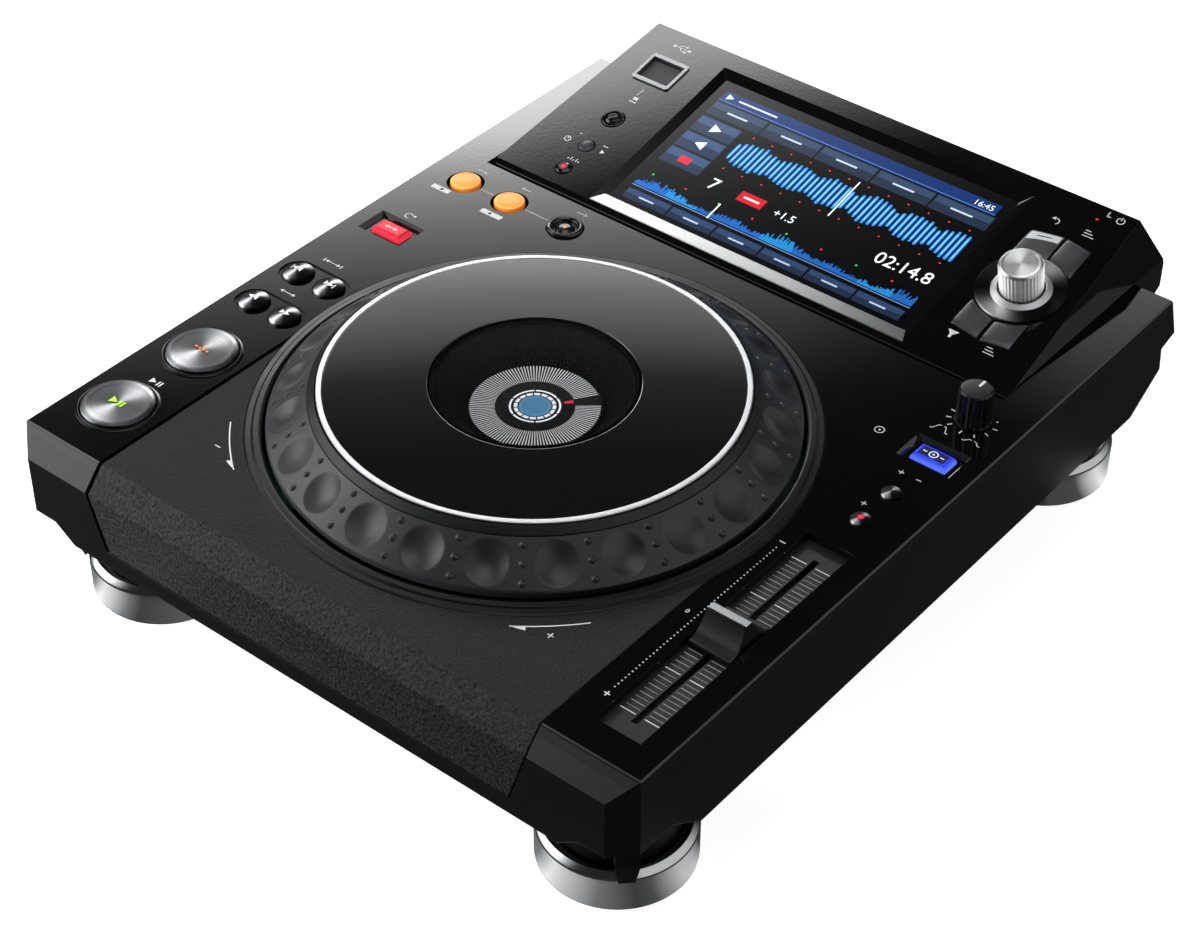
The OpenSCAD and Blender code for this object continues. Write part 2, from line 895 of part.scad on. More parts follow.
module reloop_button() {
    r = loop_r - 0.4;
    color("#26272a")
        at(reloop_at)
            rotate_extrude()
                polygon([[0, 0.9], [2.2, 0.7], [4, -0.1], [4.3, -0.6], [4.9, -0.6], [5.5, 1],
                    [6.6, 1.5], [r - 0.5, 1.3], [r, 0.7], [r, -deck_t - 0.8],
                    [r + 1.1, -deck_t - 0.8], [r + 1.1, -deck_t - 2.2], [0, -deck_t - 2.2]]);
}

module tempo_range_button() {
    color("#2b2c2f")
        at(range_at)
            round_button(4.2, 1.4, 0.9);
}

module master_tempo_button() {
    color("#2b2c2f")
        at(master_at)
            round_button(4.2, 1.4, 0.9);
}

module speed_knob() {
    color("#1d1e20")
        at(speed_at)
            difference() {
                union() {
                    rotate_extrude()
                        polygon([[0, 16], [6, 16], [6.6, 15.4], [7, 2], [7.4, 0.5], [3, 0.5],
                            [3, -13], [0, -13]]);
                    for (i = [0 : 17])
                        rotate([0, 0, i * 20])
                            translate([6.55, 0, 1.4])
                                cylinder(r = 0.6, h = 13, $fn = 16);
                }
                slab(-0.45, 0.45, 2, 9, 15.3, 17);
            }
}

module speed_pot() {
    color("#8b8f93")
        at(speed_at)
            difference() {
                union() {
                    tube(0, 3.9, -6, -1);
                    slab(-8, 8, -8.5, 8.5, -14.5, -6);
                }
                translate([0, 0, -13.4])
                    cylinder(r = 3.05, h = 20);
            }
}

// ---------- pitch fader ----------

module tempo_plate() {
    color("#1e1f21")
        at(fader_at)
            difference() {
                slab(-12, 12, -65, 64, -deck_t - 1.6, -deck_t - 0.02);
                slab(-1.3, 1.3, -fader_travel / 2 - 4.1, fader_travel / 2 + 4.1, -9, 0);
            }
}

module tempo_fader() {
    color("#6f7276")
        at(fader_at)
            difference() {
                slab(-6, 6, -64, 63, -15, -deck_t - 1.65);
                slab(-4.9, 4.9, -60, 60, -13.8, -6.2);
                slab(-1.3, 1.3, -fader_travel / 2 - 4.1, fader_travel / 2 + 4.1, -8, 0);
            }
}

module tempo_stem() {
    color("#a9acaf")
        at(fader_at) {
            slab(-0.8, 0.8, -3.6, 3.6, -8, 3);
            slab(-4.3, 4.3, -8, 8, -13.2, -6.8);
        }
}

// hollow curve up to the ridge: y from the middle, z over the plate
function cap_side(s) =
    [for (i = [0 : 8]) let (u = i / 8) [s * (11.5 - 9.2 * u), -0.6 + 8 * pow(u, 2.4)]];

function reversed(v) = [for (i = [len(v) - 1 : -1 : 0]) v[i]];

module tempo_cap() {
    color("#232427")
        at(fader_at)
            difference() {
                intersection() {
                    across(-9.4, 9.4)
                        polygon(concat([[-11.5, -deck_t + 0.8]], cap_side(-1),
                            [[-1.7, 8.8], [1.7, 8.8]], reversed(cap_side(1)),
                            [[11.5, -deck_t + 0.8]]));
                    along(-12, 12)
                        polygon([[-9.4, -4], [9.4, -4], [9.4, -1], [8.5, 9], [-8.5, 9], [-9.4, -1]]);
                }
                slab(-0.85, 0.85, -3.7, 3.7, -5, 3.1);
            }
}

// ---------- panel buttons ----------

module panel_button(p, r, top, crown) {
    n = 6;
    on_panel()
        at(p)
            rotate_extrude()
                polygon(concat(
                    [for (i = [0 : n]) [r * i / n * 0.94, top - crown * pow(i / n, 2)]],
                    [[r, top - crown - 0.06 * r], [r, -3.6], [r + 1, -3.6], [r + 1, -5], [0, -5]]));
}

module usb_stop_button() {
    color("#2b2c2f") {
        panel_button(stop_at, 3.6, 1.3, 0.9);
        on_panel()
            at(stop_at)
                difference() {
                    tube(3.5, 5.2, -3.7, 0.5);
                    tube(3.6, 4.4, -1.2, 2);
                }
    }
}

module time_button() {
    color("#55575a")
        panel_button(time_at, 3.7, 1.1, 0.8);
}

module quantize_button() {
    color("#2b2c2f")
        panel_button(quantize_at, 3.7, 1.1, 0.8);
}

module selector_ring() {
    color("#141517")
        on_panel()
            at(select_at)
                rotate_extrude()
                    polygon([[select_r + 0.7, -3], [11.1, -3], [11.1, 0.01], [19.2, 0.01],
                        [19.2, 0.7], [18.8, 1], [13.4, 1], [12.9, 1.9], [12.4, 2.1],
                        [select_r + 1.2, 2.1], [select_r + 0.7, 1.7]]);
}

module selector_knob() {
    color(silver)
        on_panel()
            at(select_at)
                difference() {
                    union() {
                        rotate_extrude()
                            polygon([[0, 1.2], [select_r, 1.2], [select_r, select_h - 0.9],
                                [select_r - 0.7, select_h], [select_r - 1.4, select_h - 0.2],
                                [0, select_h - 0.2]]);
                        for (i = [0 : 35])
                            rotate([0, 0, i * 10])
                                translate([select_r - 0.1, 0, 2.5])
                                    cylinder(r = 0.4, h = select_h - 4.5, $fn = 16);
                    }
                    translate([0, 0, 0])
                        cylinder(r = 3.05, h = 9);
                }
}

module selector_encoder() {
    color("#8b8f93")
        on_panel()
            at(select_at) {
                translate([0, 0, -8.4])
                    cylinder(r = 3, h = 16.4);
                translate([0, 0, -8.4])
                    cylinder(r = 6.5, h = 3.4);
            }
}

module quad_button(pts) {
    on_panel() {
        quad_cut(pts, 3.6);
        difference() {
            translate([0, 0, -5])
                linear_extrude(1.5)
                    polygon(grow(pts, 1.02));
            at(select_at, -20)
                cylinder(r = 19.9, h = 40);
        }
    }
}

module quad_cap(pts) {
    color("#7b7d80")
        intersection() {
            quad_button(pts);
            on_panel()
                slab(80, 130, 0, 110, -5, 0.6);
        }
}

module back_button() {
    quad_cap(back_pts);
}

module tag_button() {
    quad_cap(tag_pts);
}

module filter_button() {
    quad_cap(filter_pts);
}

module shortcut_button() {
    quad_cap(shortcut_pts);
}

// ---------- inside and rear ----------

// push switch on a board, its top at z
module tact(p, z) {
    at(p, z - 3.2)
        slab(-3, 3, -3, 3, 0, 2.4);
    at(p, z - 0.9)
        cylinder(r = 1.7, h = 0.9);
}

module switch_boards() {
    color(board_green) {
        slab(-147.5, -98, 14, 246, -12.4, -10.8);
        slab(-98.2, -64, 222, 246, -12.4, -10.8);
        slab(118.5, 147.5, 145.5, 224.6, -12.4, -10.8);
        for (p = [play_at, cue_at, direction_at, loop_in_at, loop_out_at, reloop_at, mode_at,
                range_at, master_at, [search_x - search_dx, search_y],
                [search_x + search_dx, search_y], [search_x - search_dx, track_y],
                [search_x + search_dx, track_y]])
            tact(p, -7.6);
        on_panel() {
            slab(-123, -84, 3, 68, -12.4, -10.8);
            difference() {
                slab(85.5, 123, 14, 92, -12.4, -10.8);
                at(select_at, -20)
                    cylinder(r = 8, h = 20);
            }
            for (p = [stop_at, time_at, quantize_at, [98.5, 78], [114.5, 78], [98.5, 23], [114.5, 23]])
                tact(p, -7.6);
        }
    }
}

module main_board() {
    color(board_green)
        difference() {
            slab(-100, 100, 50, 236, -30, -28.4);
            translate([0, jog_y, -40])
                cylinder(r = 28, h = 20);
        }
    color("#222426") {
        slab(-70, -42, 160, 188, -28.4, -26);
        slab(30, 52, 170, 192, -28.4, -26.4);
        slab(-80, -60, 70, 84, -28.4, -26.6);
        // fork that straddles the encoder comb
        at_jog()
            difference() {
                slab(comb_r - 4.4, comb_r + 5.6, -5, 5, -28.4, -3.2);
                tube(comb_r - 1, comb_r + 2.2, -11, 0);
            }
    }
}

module power_board() {
    color("#b59a5a")
        slab(-120, -22, 247, 318, -36.2, -34.6);
    color("#3b3d40") {
        slab(-110, -74, 256, 292, -34.6, -15);
        slab(-62, -40, 256, 270, -34.6, -16);
        for (x = [-62, -44])
            at([x, 290], -34.6)
                cylinder(r = 7, h = 20);
    }
}

module rear_jacks() {
    color("#7d8084") {
        for (x = jack_x)
            at([x, rear_y], jack_z)
                rotate([-90, 0, 0])
                    difference() {
                        union() {
                            translate([0, 0, -12])
                                cylinder(r = 5, h = 14.4);
                            cylinder(r = 4.15, h = 11);
                        }
                        translate([0, 0, -6])
                            cylinder(r = 1.6, h = 20);
                    }
    }
    color("#2b2d2f") {
        difference() {
            slab(-38, -22, rear_y - 16, rear_y + 2.8, jack_z - 7, jack_z + 7);
            slab(-36, -24, rear_y - 12, rear_y + 8, jack_z - 5, jack_z + 5);
        }
        difference() {
            slab(-6, 6, rear_y - 14, rear_y + 2.8, jack_z - 5.5, jack_z + 5.5);
            slab(-4.3, 4.3, rear_y - 9, rear_y + 8, jack_z - 4, jack_z + 4);
        }
        difference() {
            slab(61, 85, rear_y - 18, rear_y + 3.2, jack_z - 7, jack_z + 7);
            slab(63, 83, rear_y - 15, rear_y + 8, jack_z - 5.2, jack_z + 5.2);
        }
        for (x = [68.7, 77.3])
            at([x, rear_y - 16], jack_z)
                rotate([-90, 0, 0])
                    cylinder(r = 1.2, h = 9);
    }
}

module power_button() {
    color("#202123")
        at([118, rear_y], jack_z)
            rotate([-90, 0, 0])
                rotate_extrude()
                    polygon([[0, -12], [4, -12], [4, -2], [7, -2], [7, -0.6], [6, -0.6],
                        [6, 5], [5.4, 5.6], [0, 5.6]]);
}

deck_frame() {
    bottom_case();
    rear_panel();
    side_frame();
    deck_plate();
    front_cover();
    display_housing();
    screen_trim();
    touch_glass();
    lcd_module();
    usb_frame();
    usb_flap();
    usb_socket();
    jog_bezel();
    jog_rim();
    jog_plate();
    jog_ring();
    jog_hub();
    jog_bearing();
    jog_column();
    jog_dish();
    jog_display();
    jog_window();
    play_button();
    cue_button();
    transport_rings();
    search_back();
    search_forward();
    track_back();
    track_forward();
    direction_button();
    loop_in_button();
    loop_out_button();
    reloop_button();
    usb_stop_button();
    time_button();
    quantize_button();
    selector_knob();
    selector_ring();
    selector_encoder();
    back_button();
    tag_button();
    filter_button();
    shortcut_button();
    speed_knob();
    speed_pot();
    jog_mode_button();
    tempo_range_button();
    master_tempo_button();
    tempo_cap();
    tempo_stem();
    tempo_plate();
    tempo_fader();
    power_button();
    foot_rings();
    foot_pads();
    main_board();
    power_board();
    switch_boards();
    rear_jacks();
    case_screws();
}
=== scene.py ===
import bpy, bmesh, json, math
import numpy as np
from mathutils import Matrix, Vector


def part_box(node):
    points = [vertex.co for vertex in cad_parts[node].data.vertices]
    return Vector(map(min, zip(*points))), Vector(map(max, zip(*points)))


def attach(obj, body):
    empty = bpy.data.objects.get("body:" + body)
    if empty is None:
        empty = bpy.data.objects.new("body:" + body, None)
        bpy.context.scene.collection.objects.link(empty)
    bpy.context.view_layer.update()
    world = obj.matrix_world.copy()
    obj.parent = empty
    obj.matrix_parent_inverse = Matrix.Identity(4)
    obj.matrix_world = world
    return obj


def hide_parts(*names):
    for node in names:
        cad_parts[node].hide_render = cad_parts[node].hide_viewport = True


bpy.ops.wm.read_factory_settings(use_empty=True)
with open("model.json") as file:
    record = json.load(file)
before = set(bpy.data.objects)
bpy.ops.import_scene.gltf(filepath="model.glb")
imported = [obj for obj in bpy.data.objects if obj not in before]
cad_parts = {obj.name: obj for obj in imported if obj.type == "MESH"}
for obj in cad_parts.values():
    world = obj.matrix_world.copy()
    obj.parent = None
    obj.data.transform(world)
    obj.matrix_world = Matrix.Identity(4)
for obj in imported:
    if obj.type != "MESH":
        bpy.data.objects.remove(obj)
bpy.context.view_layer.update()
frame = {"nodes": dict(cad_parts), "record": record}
record = frame["record"]
print("frame loaded:", len(frame["nodes"]), "nodes")

# Everything below is placed about the deck, in millimetres: x right, y back from the
# deck's front edge, z up from its top. The row frame has its origin under the middle.
mm = 0.001
nose = 8.8  # how far the front cover stands in front of the deck
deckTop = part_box("deck_plate")[1].z
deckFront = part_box("front_cover")[0].y + nose * mm
panel = {"y": 259.0, "z": -0.3, "tilt": math.radians(12.3)}


def deckPoints(p):
    # deck millimetres to metres in the row frame
    return np.asarray(p, float) * mm + np.array([0, deckFront, deckTop])


def panelPoints(p):
    # (across, up the slope, off the surface): turned by the tilt about the panel's front edge
    p = np.asarray(p, float)
    c, s = math.cos(panel["tilt"]), math.sin(panel["tilt"])
    y = panel["y"] + p[..., 1] * c - p[..., 2] * s
    z = panel["z"] + p[..., 1] * s + p[..., 2] * c
    return deckPoints(np.stack([p[..., 0], y, z], -1))


def shiftTo(centre, place=deckPoints):
    # a placing function for shapes drawn about their own middle
    return lambda p: place(p + np.array([*centre, 0]))


def onRing(centre, r, degrees):
    # the points at one radius and some angles
    a = np.radians(degrees)
    return np.asarray(centre, float) + r * np.stack([np.cos(a), np.sin(a)], -1)


# materials

def hexLinear(text):
    # sRGB hex to linear: c/12.92 below 0.04045, else ((c+0.055)/1.055)^2.4
    c = np.array([int(text[i:i + 2], 16) for i in (1, 3, 5)]) / 255
    lin = np.where(c <= 0.04045, c / 12.92, ((c + 0.055) / 1.055) ** 2.4)
    return (*[float(v) for v in lin], 1.0)


def wire(tree, node, inputs):
    # each input takes a value, a socket, or the first output of another node
    for key, value in inputs.items():
        if isinstance(value, bpy.types.Node):
            value = value.outputs[0]
        if isinstance(value, bpy.types.NodeSocket):
            tree.links.new(value, node.inputs[key])
        else:
            node.inputs[key].default_value = value


def addNode(tree, kind, inputs=None, **settings):
    # one node: settings are its own properties, inputs are values or what to link
    node = tree.nodes.new("ShaderNode" + kind)
    for key, value in settings.items():
        setattr(node, key, value)
    wire(tree, node, inputs or {})
    return node


def emptyTree(holder):
    # the node tree of a material or world, with nothing in it yet
    holder.use_nodes = True
    holder.node_tree.nodes.clear()
    return holder.node_tree


def newMaterial(name, shader):
    # a material with one Principled shader and its fixed values
    mat = bpy.data.materials.new(name)
    tree = emptyTree(mat)
    bsdf = addNode(tree, "BsdfPrincipled", shader)
    addNode(tree, "OutputMaterial", {"Surface": bsdf})
    return mat, tree, bsdf


def spread(tree, value, low, high, start=0.0, end=1.0):
    # carries start..end to low..high
    return addNode(tree, "MapRange", {
        "Value": value, "From Min": start, "From Max": end, "To Min": low, "To Max": high})


def maths(tree, operation, *values):
    return addNode(tree, "Math", dict(enumerate(values)), operation=operation)


def blend(tree, factor, a, b):
    mix = addNode(tree, "Mix", {"Factor": factor, "A": a, "B": b}, data_type="RGBA")
    return mix.outputs["Result"]


def mixShader(tree, factor, a, b):
    return addNode(tree, "MixShader", {0: factor, 1: a, 2: b})


def bumped(tree, height, strength, distance):
    return addNode(tree, "Bump", {"Strength": strength, "Distance": distance, "Height": height})


def objectPlace(tree):
    return addNode(tree, "TexCoord").outputs["Object"]


def grainNoise(tree, size, detail=2.0, rough=0.55):
    # noise whose cells are about `size` millimetres, on Object coordinates
    return addNode(tree, "TexNoise", {"Vector": objectPlace(tree), "Scale": 1 / (size * mm),
                                      "Detail": detail, "Roughness": rough}).outputs[0]


def lineNoise(tree, place, scale, detail):
    # noise with its own scale along each axis, which draws it out into lines
    lines = addNode(tree, "Mapping", {"Vector": place, "Scale": scale})
    return addNode(tree, "TexNoise", {"Vector": lines, "Scale": 1.0, "Detail": detail}).outputs[0]


def roughen(tree, bsdf, noise, rough, swing, bump, deep):
    # one noise moves the roughness by the share `swing`, and gives a bump `deep` mm deep
    wire(tree, bsdf, {"Roughness": spread(tree, noise, rough * (1 - swing), rough * (1 + swing)),
                      "Normal": bumped(tree, noise, bump, deep * mm)})


def finishPlastic(name, colour, rough, grain, bump, vary=0.2, spec=0.5, wear=0.15, speck=False,
                  **more):
    # moulded plastic: a fine grain in the bump, and a slow drift in roughness and colour,
    # which follows the grain instead when it is specked
    mat, tree, bsdf = newMaterial(name, {"Specular IOR Level": spec, "IOR": 1.5, **more})
    fine = grainNoise(tree, grain, 4, 0.6)
    cloud = fine if speck else grainNoise(tree, 30)
    worn = tuple(min(1, v * (1 + wear)) for v in hexLinear(colour))
    wire(tree, bsdf, {
        "Base Color": blend(tree, spread(tree, cloud, 0, 1, 0.35, 0.65), hexLinear(colour), worn),
        "Roughness": spread(tree, cloud, rough * (1 - vary), rough * (1 + vary), 0.3, 0.7),
        "Normal": bumped(tree, fine, bump, grain * mm * 0.5)})
    return mat


def finishMetal(name, colour, rough, hair, bump, axis="Z"):
    # brushed metal: noise stretched along one axis gives the hair lines
    mat, tree, bsdf = newMaterial(name, {"Metallic": 1.0, "Base Color": hexLinear(colour)})
    scale = [(0.03 if a == axis else 1) / (hair * mm) for a in "XYZ"]
    noise = lineNoise(tree, objectPlace(tree), scale, 3.0)
    roughen(tree, bsdf, noise, rough, 0.2, bump, 0.02)
    return mat


def finishSpun(name, dark, bright, rough, sharp, bump=0.1):
    # turned metal: grooves run round the piece, so light fans out across them; on top of that a
    # painted highlight in two fans takes the colour from dark to bright as cos(angle - 80 degrees)
    # squared, raised to `sharp`
    mat, tree, bsdf = newMaterial(name, {
        "Metallic": 1.0, "Anisotropic": 0.9, "Anisotropic Rotation": 0.25})
    path = addNode(tree, "UVMap", uv_map="around")
    part = addNode(tree, "SeparateXYZ", {0: path})
    swing = maths(tree, "COSINE", maths(tree, "MULTIPLY_ADD", part, 2 * math.pi, math.radians(-80)))
    paintedFan = maths(tree, "POWER", maths(tree, "MULTIPLY", swing, swing), sharp)
    turn = addNode(tree, "Tangent", direction_type="UV_MAP", uv_map="around")
    wire(tree, bsdf, {"Base Color": blend(tree, paintedFan, hexLinear(dark), hexLinear(bright)),
                      "Tangent": turn})
    roughen(tree, bsdf, lineNoise(tree, path, (3.0, 160.0, 1.0), 2.0), rough, 0.3, bump, 0.02)
    return mat


def finishTinted(name, strength, rough, metal=0.0, spec=0.3):
    # printed, plated or lit faces: the colour comes from the mesh's own "tint"
    mat, tree, bsdf = newMaterial(name, {
        "Metallic": metal, "Emission Strength": strength, "Specular IOR Level": spec})
    tint = addNode(tree, "Attribute", attribute_name="tint")
    wire(tree, bsdf, {"Base Color": tint, "Emission Color": tint})
    roughen(tree, bsdf, grainNoise(tree, 0.4), rough, 0.1, 0.03, 0.05)
    return mat


def clearWindow(name):
    # nearly no mirror, a thin haze
    mat, tree, bsdf = newMaterial(name, {
        "Base Color": hexLinear("#08090a"), "Roughness": 0.12, "Specular IOR Level": 0.6})
    haze = spread(tree, grainNoise(tree, 0.5), 0.1, 0.14)
    out = next(n for n in tree.nodes if n.type == "OUTPUT_MATERIAL")
    wire(tree, out, {"Surface": mixShader(tree, haze, addNode(tree, "BsdfTransparent"), bsdf)})
    return mat


look = {
    # ABS and polycarbonate blend from a polished mould: a dark mirror with faint waves
    "gloss": finishPlastic("polished_black", "#060607", 0.05, 2.0, 0.006, 0.1),
    # the same under a high-index hard coat: a stronger, softer mirror
    "jogGloss": finishPlastic("coated_disc", "#040405", 0.05, 2.0, 0.004, 0.05, 1.0,
                              **{"Coat Weight": 1.0, "Coat Roughness": 0.035, "Coat IOR": 1.78}),
    # ABS, moulded with a fine spark texture: soft and dark
    "satin": finishPlastic("sparked_black_abs", "#0c0c0d", 0.5, 0.35, 0.10, spec=0.12),
    "frame": finishPlastic("smooth_black_abs", "#080809", 0.2, 0.35, 0.03, 0.05, wear=0.04),
    "bezel": finishPlastic("black_bezel", "#090a0a", 0.3, 0.4, 0.03, spec=0.22),
    "band": finishPlastic("satin_black_band", "#0e0f10", 0.36, 0.3, 0.06, spec=0.35),
    # black plastic in wells and recesses, made darker and duller than the other blacks: painted
    # shade
    "inside": finishPlastic("black_well_painted_shade", "#030303", 0.7, 0.4, 0.08, spec=0.05),
    # ABS with an etched grain, drawn at 1.2 mm, twice as coarse as it is, so that it shows:
    # soft, with fine paler specks
    "grain": finishPlastic("etched_grey_abs", "#080808", 0.42, 1.2, 1.0, 0.35, 0.2, 7.0, True),
    # EPDM rubber, moulded: soft edge light
    "rubber": finishPlastic("moulded_rubber", "#1c1c1e", 0.36, 0.5, 0.10,
                            **{"Sheen Weight": 0.1, "Sheen Roughness": 0.4}),
    "padRubber": finishPlastic("foot_rubber", "#0c0c0c", 0.8, 0.6, 0.3, spec=0.3),
    # ABS caps and keys, some painted: each with its own depth of shine
    "dome": finishPlastic("polished_dome", "#08090a", 0.13, 0.4, 0.01, spec=0.6),
    "cap": finishPlastic("fader_cap_abs", "#0d0e0f", 0.33, 0.25, 0.10, spec=0.4),
    "knobBlack": finishPlastic("ribbed_black_abs", "#08090a", 0.3, 0.2, 0.05, spec=0.4),
    "grey": finishPlastic("painted_grey_key", "#2f3134", 0.28, 0.25, 0.04, spec=0.6),
    "timeGrey": finishPlastic("grey_abs_key", "#27282b", 0.3, 0.25, 0.05),
    "plate": finishPlastic("printed_fader_plate", "#1b1c1e", 0.4, 0.3, 0.06, spec=0.3),
    "flap": finishPlastic("grey_port_flap", "#2f3134", 0.35, 0.3, 0.08),
    # cured ink, given a faint painted glow, and a plated bar: flat, slightly raised
    "ink": finishTinted("silk_screen_ink", 0.12, 0.5),
    "plated": finishTinted("plated_bar", 0.0, 0.28, 1.0),
    # liquid crystal picture behind glass, and translucent caps lit from below
    "picture": finishTinted("lit_screen", 0.8, 0.12),
    "lamp": finishTinted("lit_translucent_cap", 0.8, 0.25, spec=0.2),
    # aluminium, turned and bead blasted, clear anodised: broad soft highlights
    "anodised": finishMetal("anodised_aluminium", "#b9bbbd", 0.2, 0.4, 0.10),
    "ring": finishMetal("satin_ring", "#d2d3d5", 0.4, 0.2, 0.05),
    "frameMetal": finishMetal("cast_frame", "#c3c5c7", 0.32, 0.3, 0.08),
    "chrome": finishMetal("bright_trim", "#d8dadb", 0.1, 0.3, 0.05, "X"),
    "steel": finishMetal("zinc_plated_steel", "#9da0a3", 0.35, 0.5, 0.1),
    "bronze": finishMetal("sintered_bronze", "#a98847", 0.5, 0.4, 0.2),
    # aluminium faced on a lathe: fine grooves, with a two-fan highlight painted into the colour
    "spun": finishSpun("spun_aluminium", "#404143", "#a8aaac", 0.3, 2.5),
    "spunDark": finishSpun("spun_black_cap", "#0b0b0c", "#e2e4e6", 0.35, 6.0),
    "knurled": finishSpun("knurled_aluminium", "#cfd1d3", "#f4f5f6", 0.34, 1.0, 0.004),
    # glass-fibre and paper circuit boards: a thin varnish
    "board": finishPlastic("green_board", "#1f5a35", 0.35, 0.8, 0.1),
    "boardTan": finishPlastic("paper_board", "#a98c50", 0.6, 0.8, 0.1, spec=0.4),
    # coated polycarbonate lens
    "lens": clearWindow("coated_lens"),
}
print("materials:", len(look))


# mesh helpers

def addObject(name, data):
    obj = bpy.data.objects.new(name, data)
    bpy.context.scene.collection.objects.link(obj)
    return obj


def slotOf(node):
    return [s["material_slot"] for s in record["subparts"] if s["node"] == node][0]


def newMesh(name, points, faces):
    mesh = bpy.data.meshes.new(name)
    mesh.from_pydata(np.asarray(points).tolist(), [], faces)
    return mesh


def finishObject(mesh, material, body, nodes=(), smooth=35):
    # an object with its mesh's name, finish, body and the CAD nodes it replaces
    mesh.materials.append(look[material])
    mesh.polygons.foreach_set("use_smooth", np.ones(len(mesh.polygons), bool))
    mesh.set_sharp_from_angle(angle=math.radians(smooth))
    obj = addObject(mesh.name, mesh)
    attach(obj, body)
    if nodes:
        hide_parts(*nodes)
    return obj


def evenNormals(obj):
    # large faces keep their own normals, so they mirror as flats up to their rounded edges
    flats = obj.modifiers.new("flats", "WEIGHTED_NORMAL")
    flats.weight, flats.keep_sharp = 90, True
    return obj


def closedMesh(name, points, faces, uv=None):
    # merges poles and seams, and turns all faces outwards
    mesh = newMesh(name, points, faces.tolist())
    if uv is not None:
        layer = mesh.uv_layers.new(name="around")
        index = np.zeros(len(mesh.loops), int)
        mesh.loops.foreach_get("vertex_index", index)
        layer.data.foreach_set("uv", uv[index].ravel())
    bm = bmesh.new()
    bm.from_mesh(mesh)
    bmesh.ops.remove_doubles(bm, verts=bm.verts, dist=1e-6)
    bmesh.ops.dissolve_degenerate(bm, edges=bm.edges, dist=1e-7)
    bmesh.ops.recalc_face_normals(bm, faces=bm.faces)
    bm.to_mesh(mesh)
    bm.free()
    return mesh


def pointsOf(mesh):
    # the places of its vertices, one row each
    spot = np.zeros(len(mesh.vertices) * 3)
    mesh.vertices.foreach_get("co", spot)
    return spot.reshape(-1, 3)


def addTint(mesh, domain, colours):
    # the colours that tinted finishes read, one per vertex or per corner of a face
    layer = mesh.color_attributes.new("tint", "FLOAT_COLOR", domain)
    layer.data.foreach_set("color", np.asarray(colours).ravel())


def blendStops(t, stops):
    # colours between (place, hex) stops, straight in linear light
    at = [s[0] for s in stops]
    rgba = np.array([hexLinear(s[1]) for s in stops])
    return np.stack([np.interp(t, at, rgba[:, k]) for k in range(4)], -1)


def gridFaces(rows, cols, count=1):
    # quads between neighbours of `count` grids, each with rows x cols points
    i, j = np.meshgrid(np.arange(rows - 1), np.arange(cols - 1), indexing="ij")
    a = (i * cols + j).ravel() + (np.arange(count) * rows * cols)[:, None]
    return np.stack([a, a + 1, a + cols + 1, a + cols], -1).reshape(-1, 4)


def gridMesh(name, grids, place, uv=None):
    # one mesh from a row of equal grids
    grids = np.asarray(grids)
    count, rows, cols = grids.shape[:3]
    return closedMesh(name, place(grids.reshape(-1, 3)), gridFaces(rows, cols, count), uv)


def roundLine(points, radii):
    # each inner corner becomes a quadratic curve that starts and ends its radius away from it,
    # in four steps
    pts = np.asarray(points, float)
    out = [pts[:1]]
    u = np.linspace(0, 1, 5)[:, None]
    for k in range(1, len(pts) - 1):
        r = radii[k - 1] if isinstance(radii, list) else radii
        a, b, c = pts[k - 1], pts[k], pts[k + 1]
        la, lc = np.linalg.norm(a - b), np.linalg.norm(c - b)
        p, q = b + (a - b) * min(r / la, 0.45), b + (c - b) * min(r / lc, 0.45)
        out.append((1 - u) ** 2 * p + 2 * u * (1 - u) * b + u ** 2 * q)
    return np.vstack(out + [pts[-1:]])


def lathe(line, steps, bend=None):
    # profile (r, z) carried round the axis: (r cos a, r sin a, z), where bend may move r and z
    a = np.linspace(0, 2 * math.pi, steps + 1)[:, None]
    r, z = (np.tile(line[:, k], (steps + 1, 1)) for k in (0, 1))
    if bend:
        r, z = bend(a, r, z)
    grid = np.stack([r * np.cos(a), r * np.sin(a), z], -1)
    grid[-1] = grid[0]
    return grid


def turned(name, centre, material, body, nodes, profile, radii=None, steps=96, place=deckPoints,
           bend=None):
    # a turned piece; its "around" map holds the share of a turn and of the profile's length
    line = np.asarray(profile, float) if radii is None else roundLine(profile, radii)
    length = np.r_[0, np.cumsum(np.linalg.norm(np.diff(line, axis=0), axis=1))]
    share = np.linspace(0, 2 * math.pi, steps + 1)[:, None] / (2 * math.pi)
    uv = np.stack(np.broadcast_arrays(share, length[None, :] / length[-1]), -1)
    mesh = gridMesh(name, [lathe(line, steps, bend)], shiftTo(centre, place), uv.reshape(-1, 2))
    return evenNormals(finishObject(mesh, material, body, nodes))


def dressed(node, name, material, bevel, body="case", tint=None):
    # the CAD solid's own shape with its edges rounded over by `bevel` millimetres
    mesh = frame["nodes"][node].data.copy()
    mesh.name = name
    mesh.materials.clear()
    bm = bmesh.new()
    bm.from_mesh(mesh)
    bmesh.ops.remove_doubles(bm, verts=bm.verts, dist=3e-6)
    bmesh.ops.dissolve_limit(bm, angle_limit=math.radians(0.6), verts=bm.verts, edges=bm.edges)
    bm.to_mesh(mesh)
    bm.free()
    if tint:
        addTint(mesh, "POINT", tint(pointsOf(mesh)))
    obj = finishObject(mesh, material, body, [node], smooth=12)
    mod = obj.modifiers.new("edges", "BEVEL")
    mod.width, mod.segments, mod.use_clamp_overlap = bevel * mm, 2, True
    mod.limit_method, mod.angle_limit = "ANGLE", math.radians(30)
    return evenNormals(obj)


# flat marks

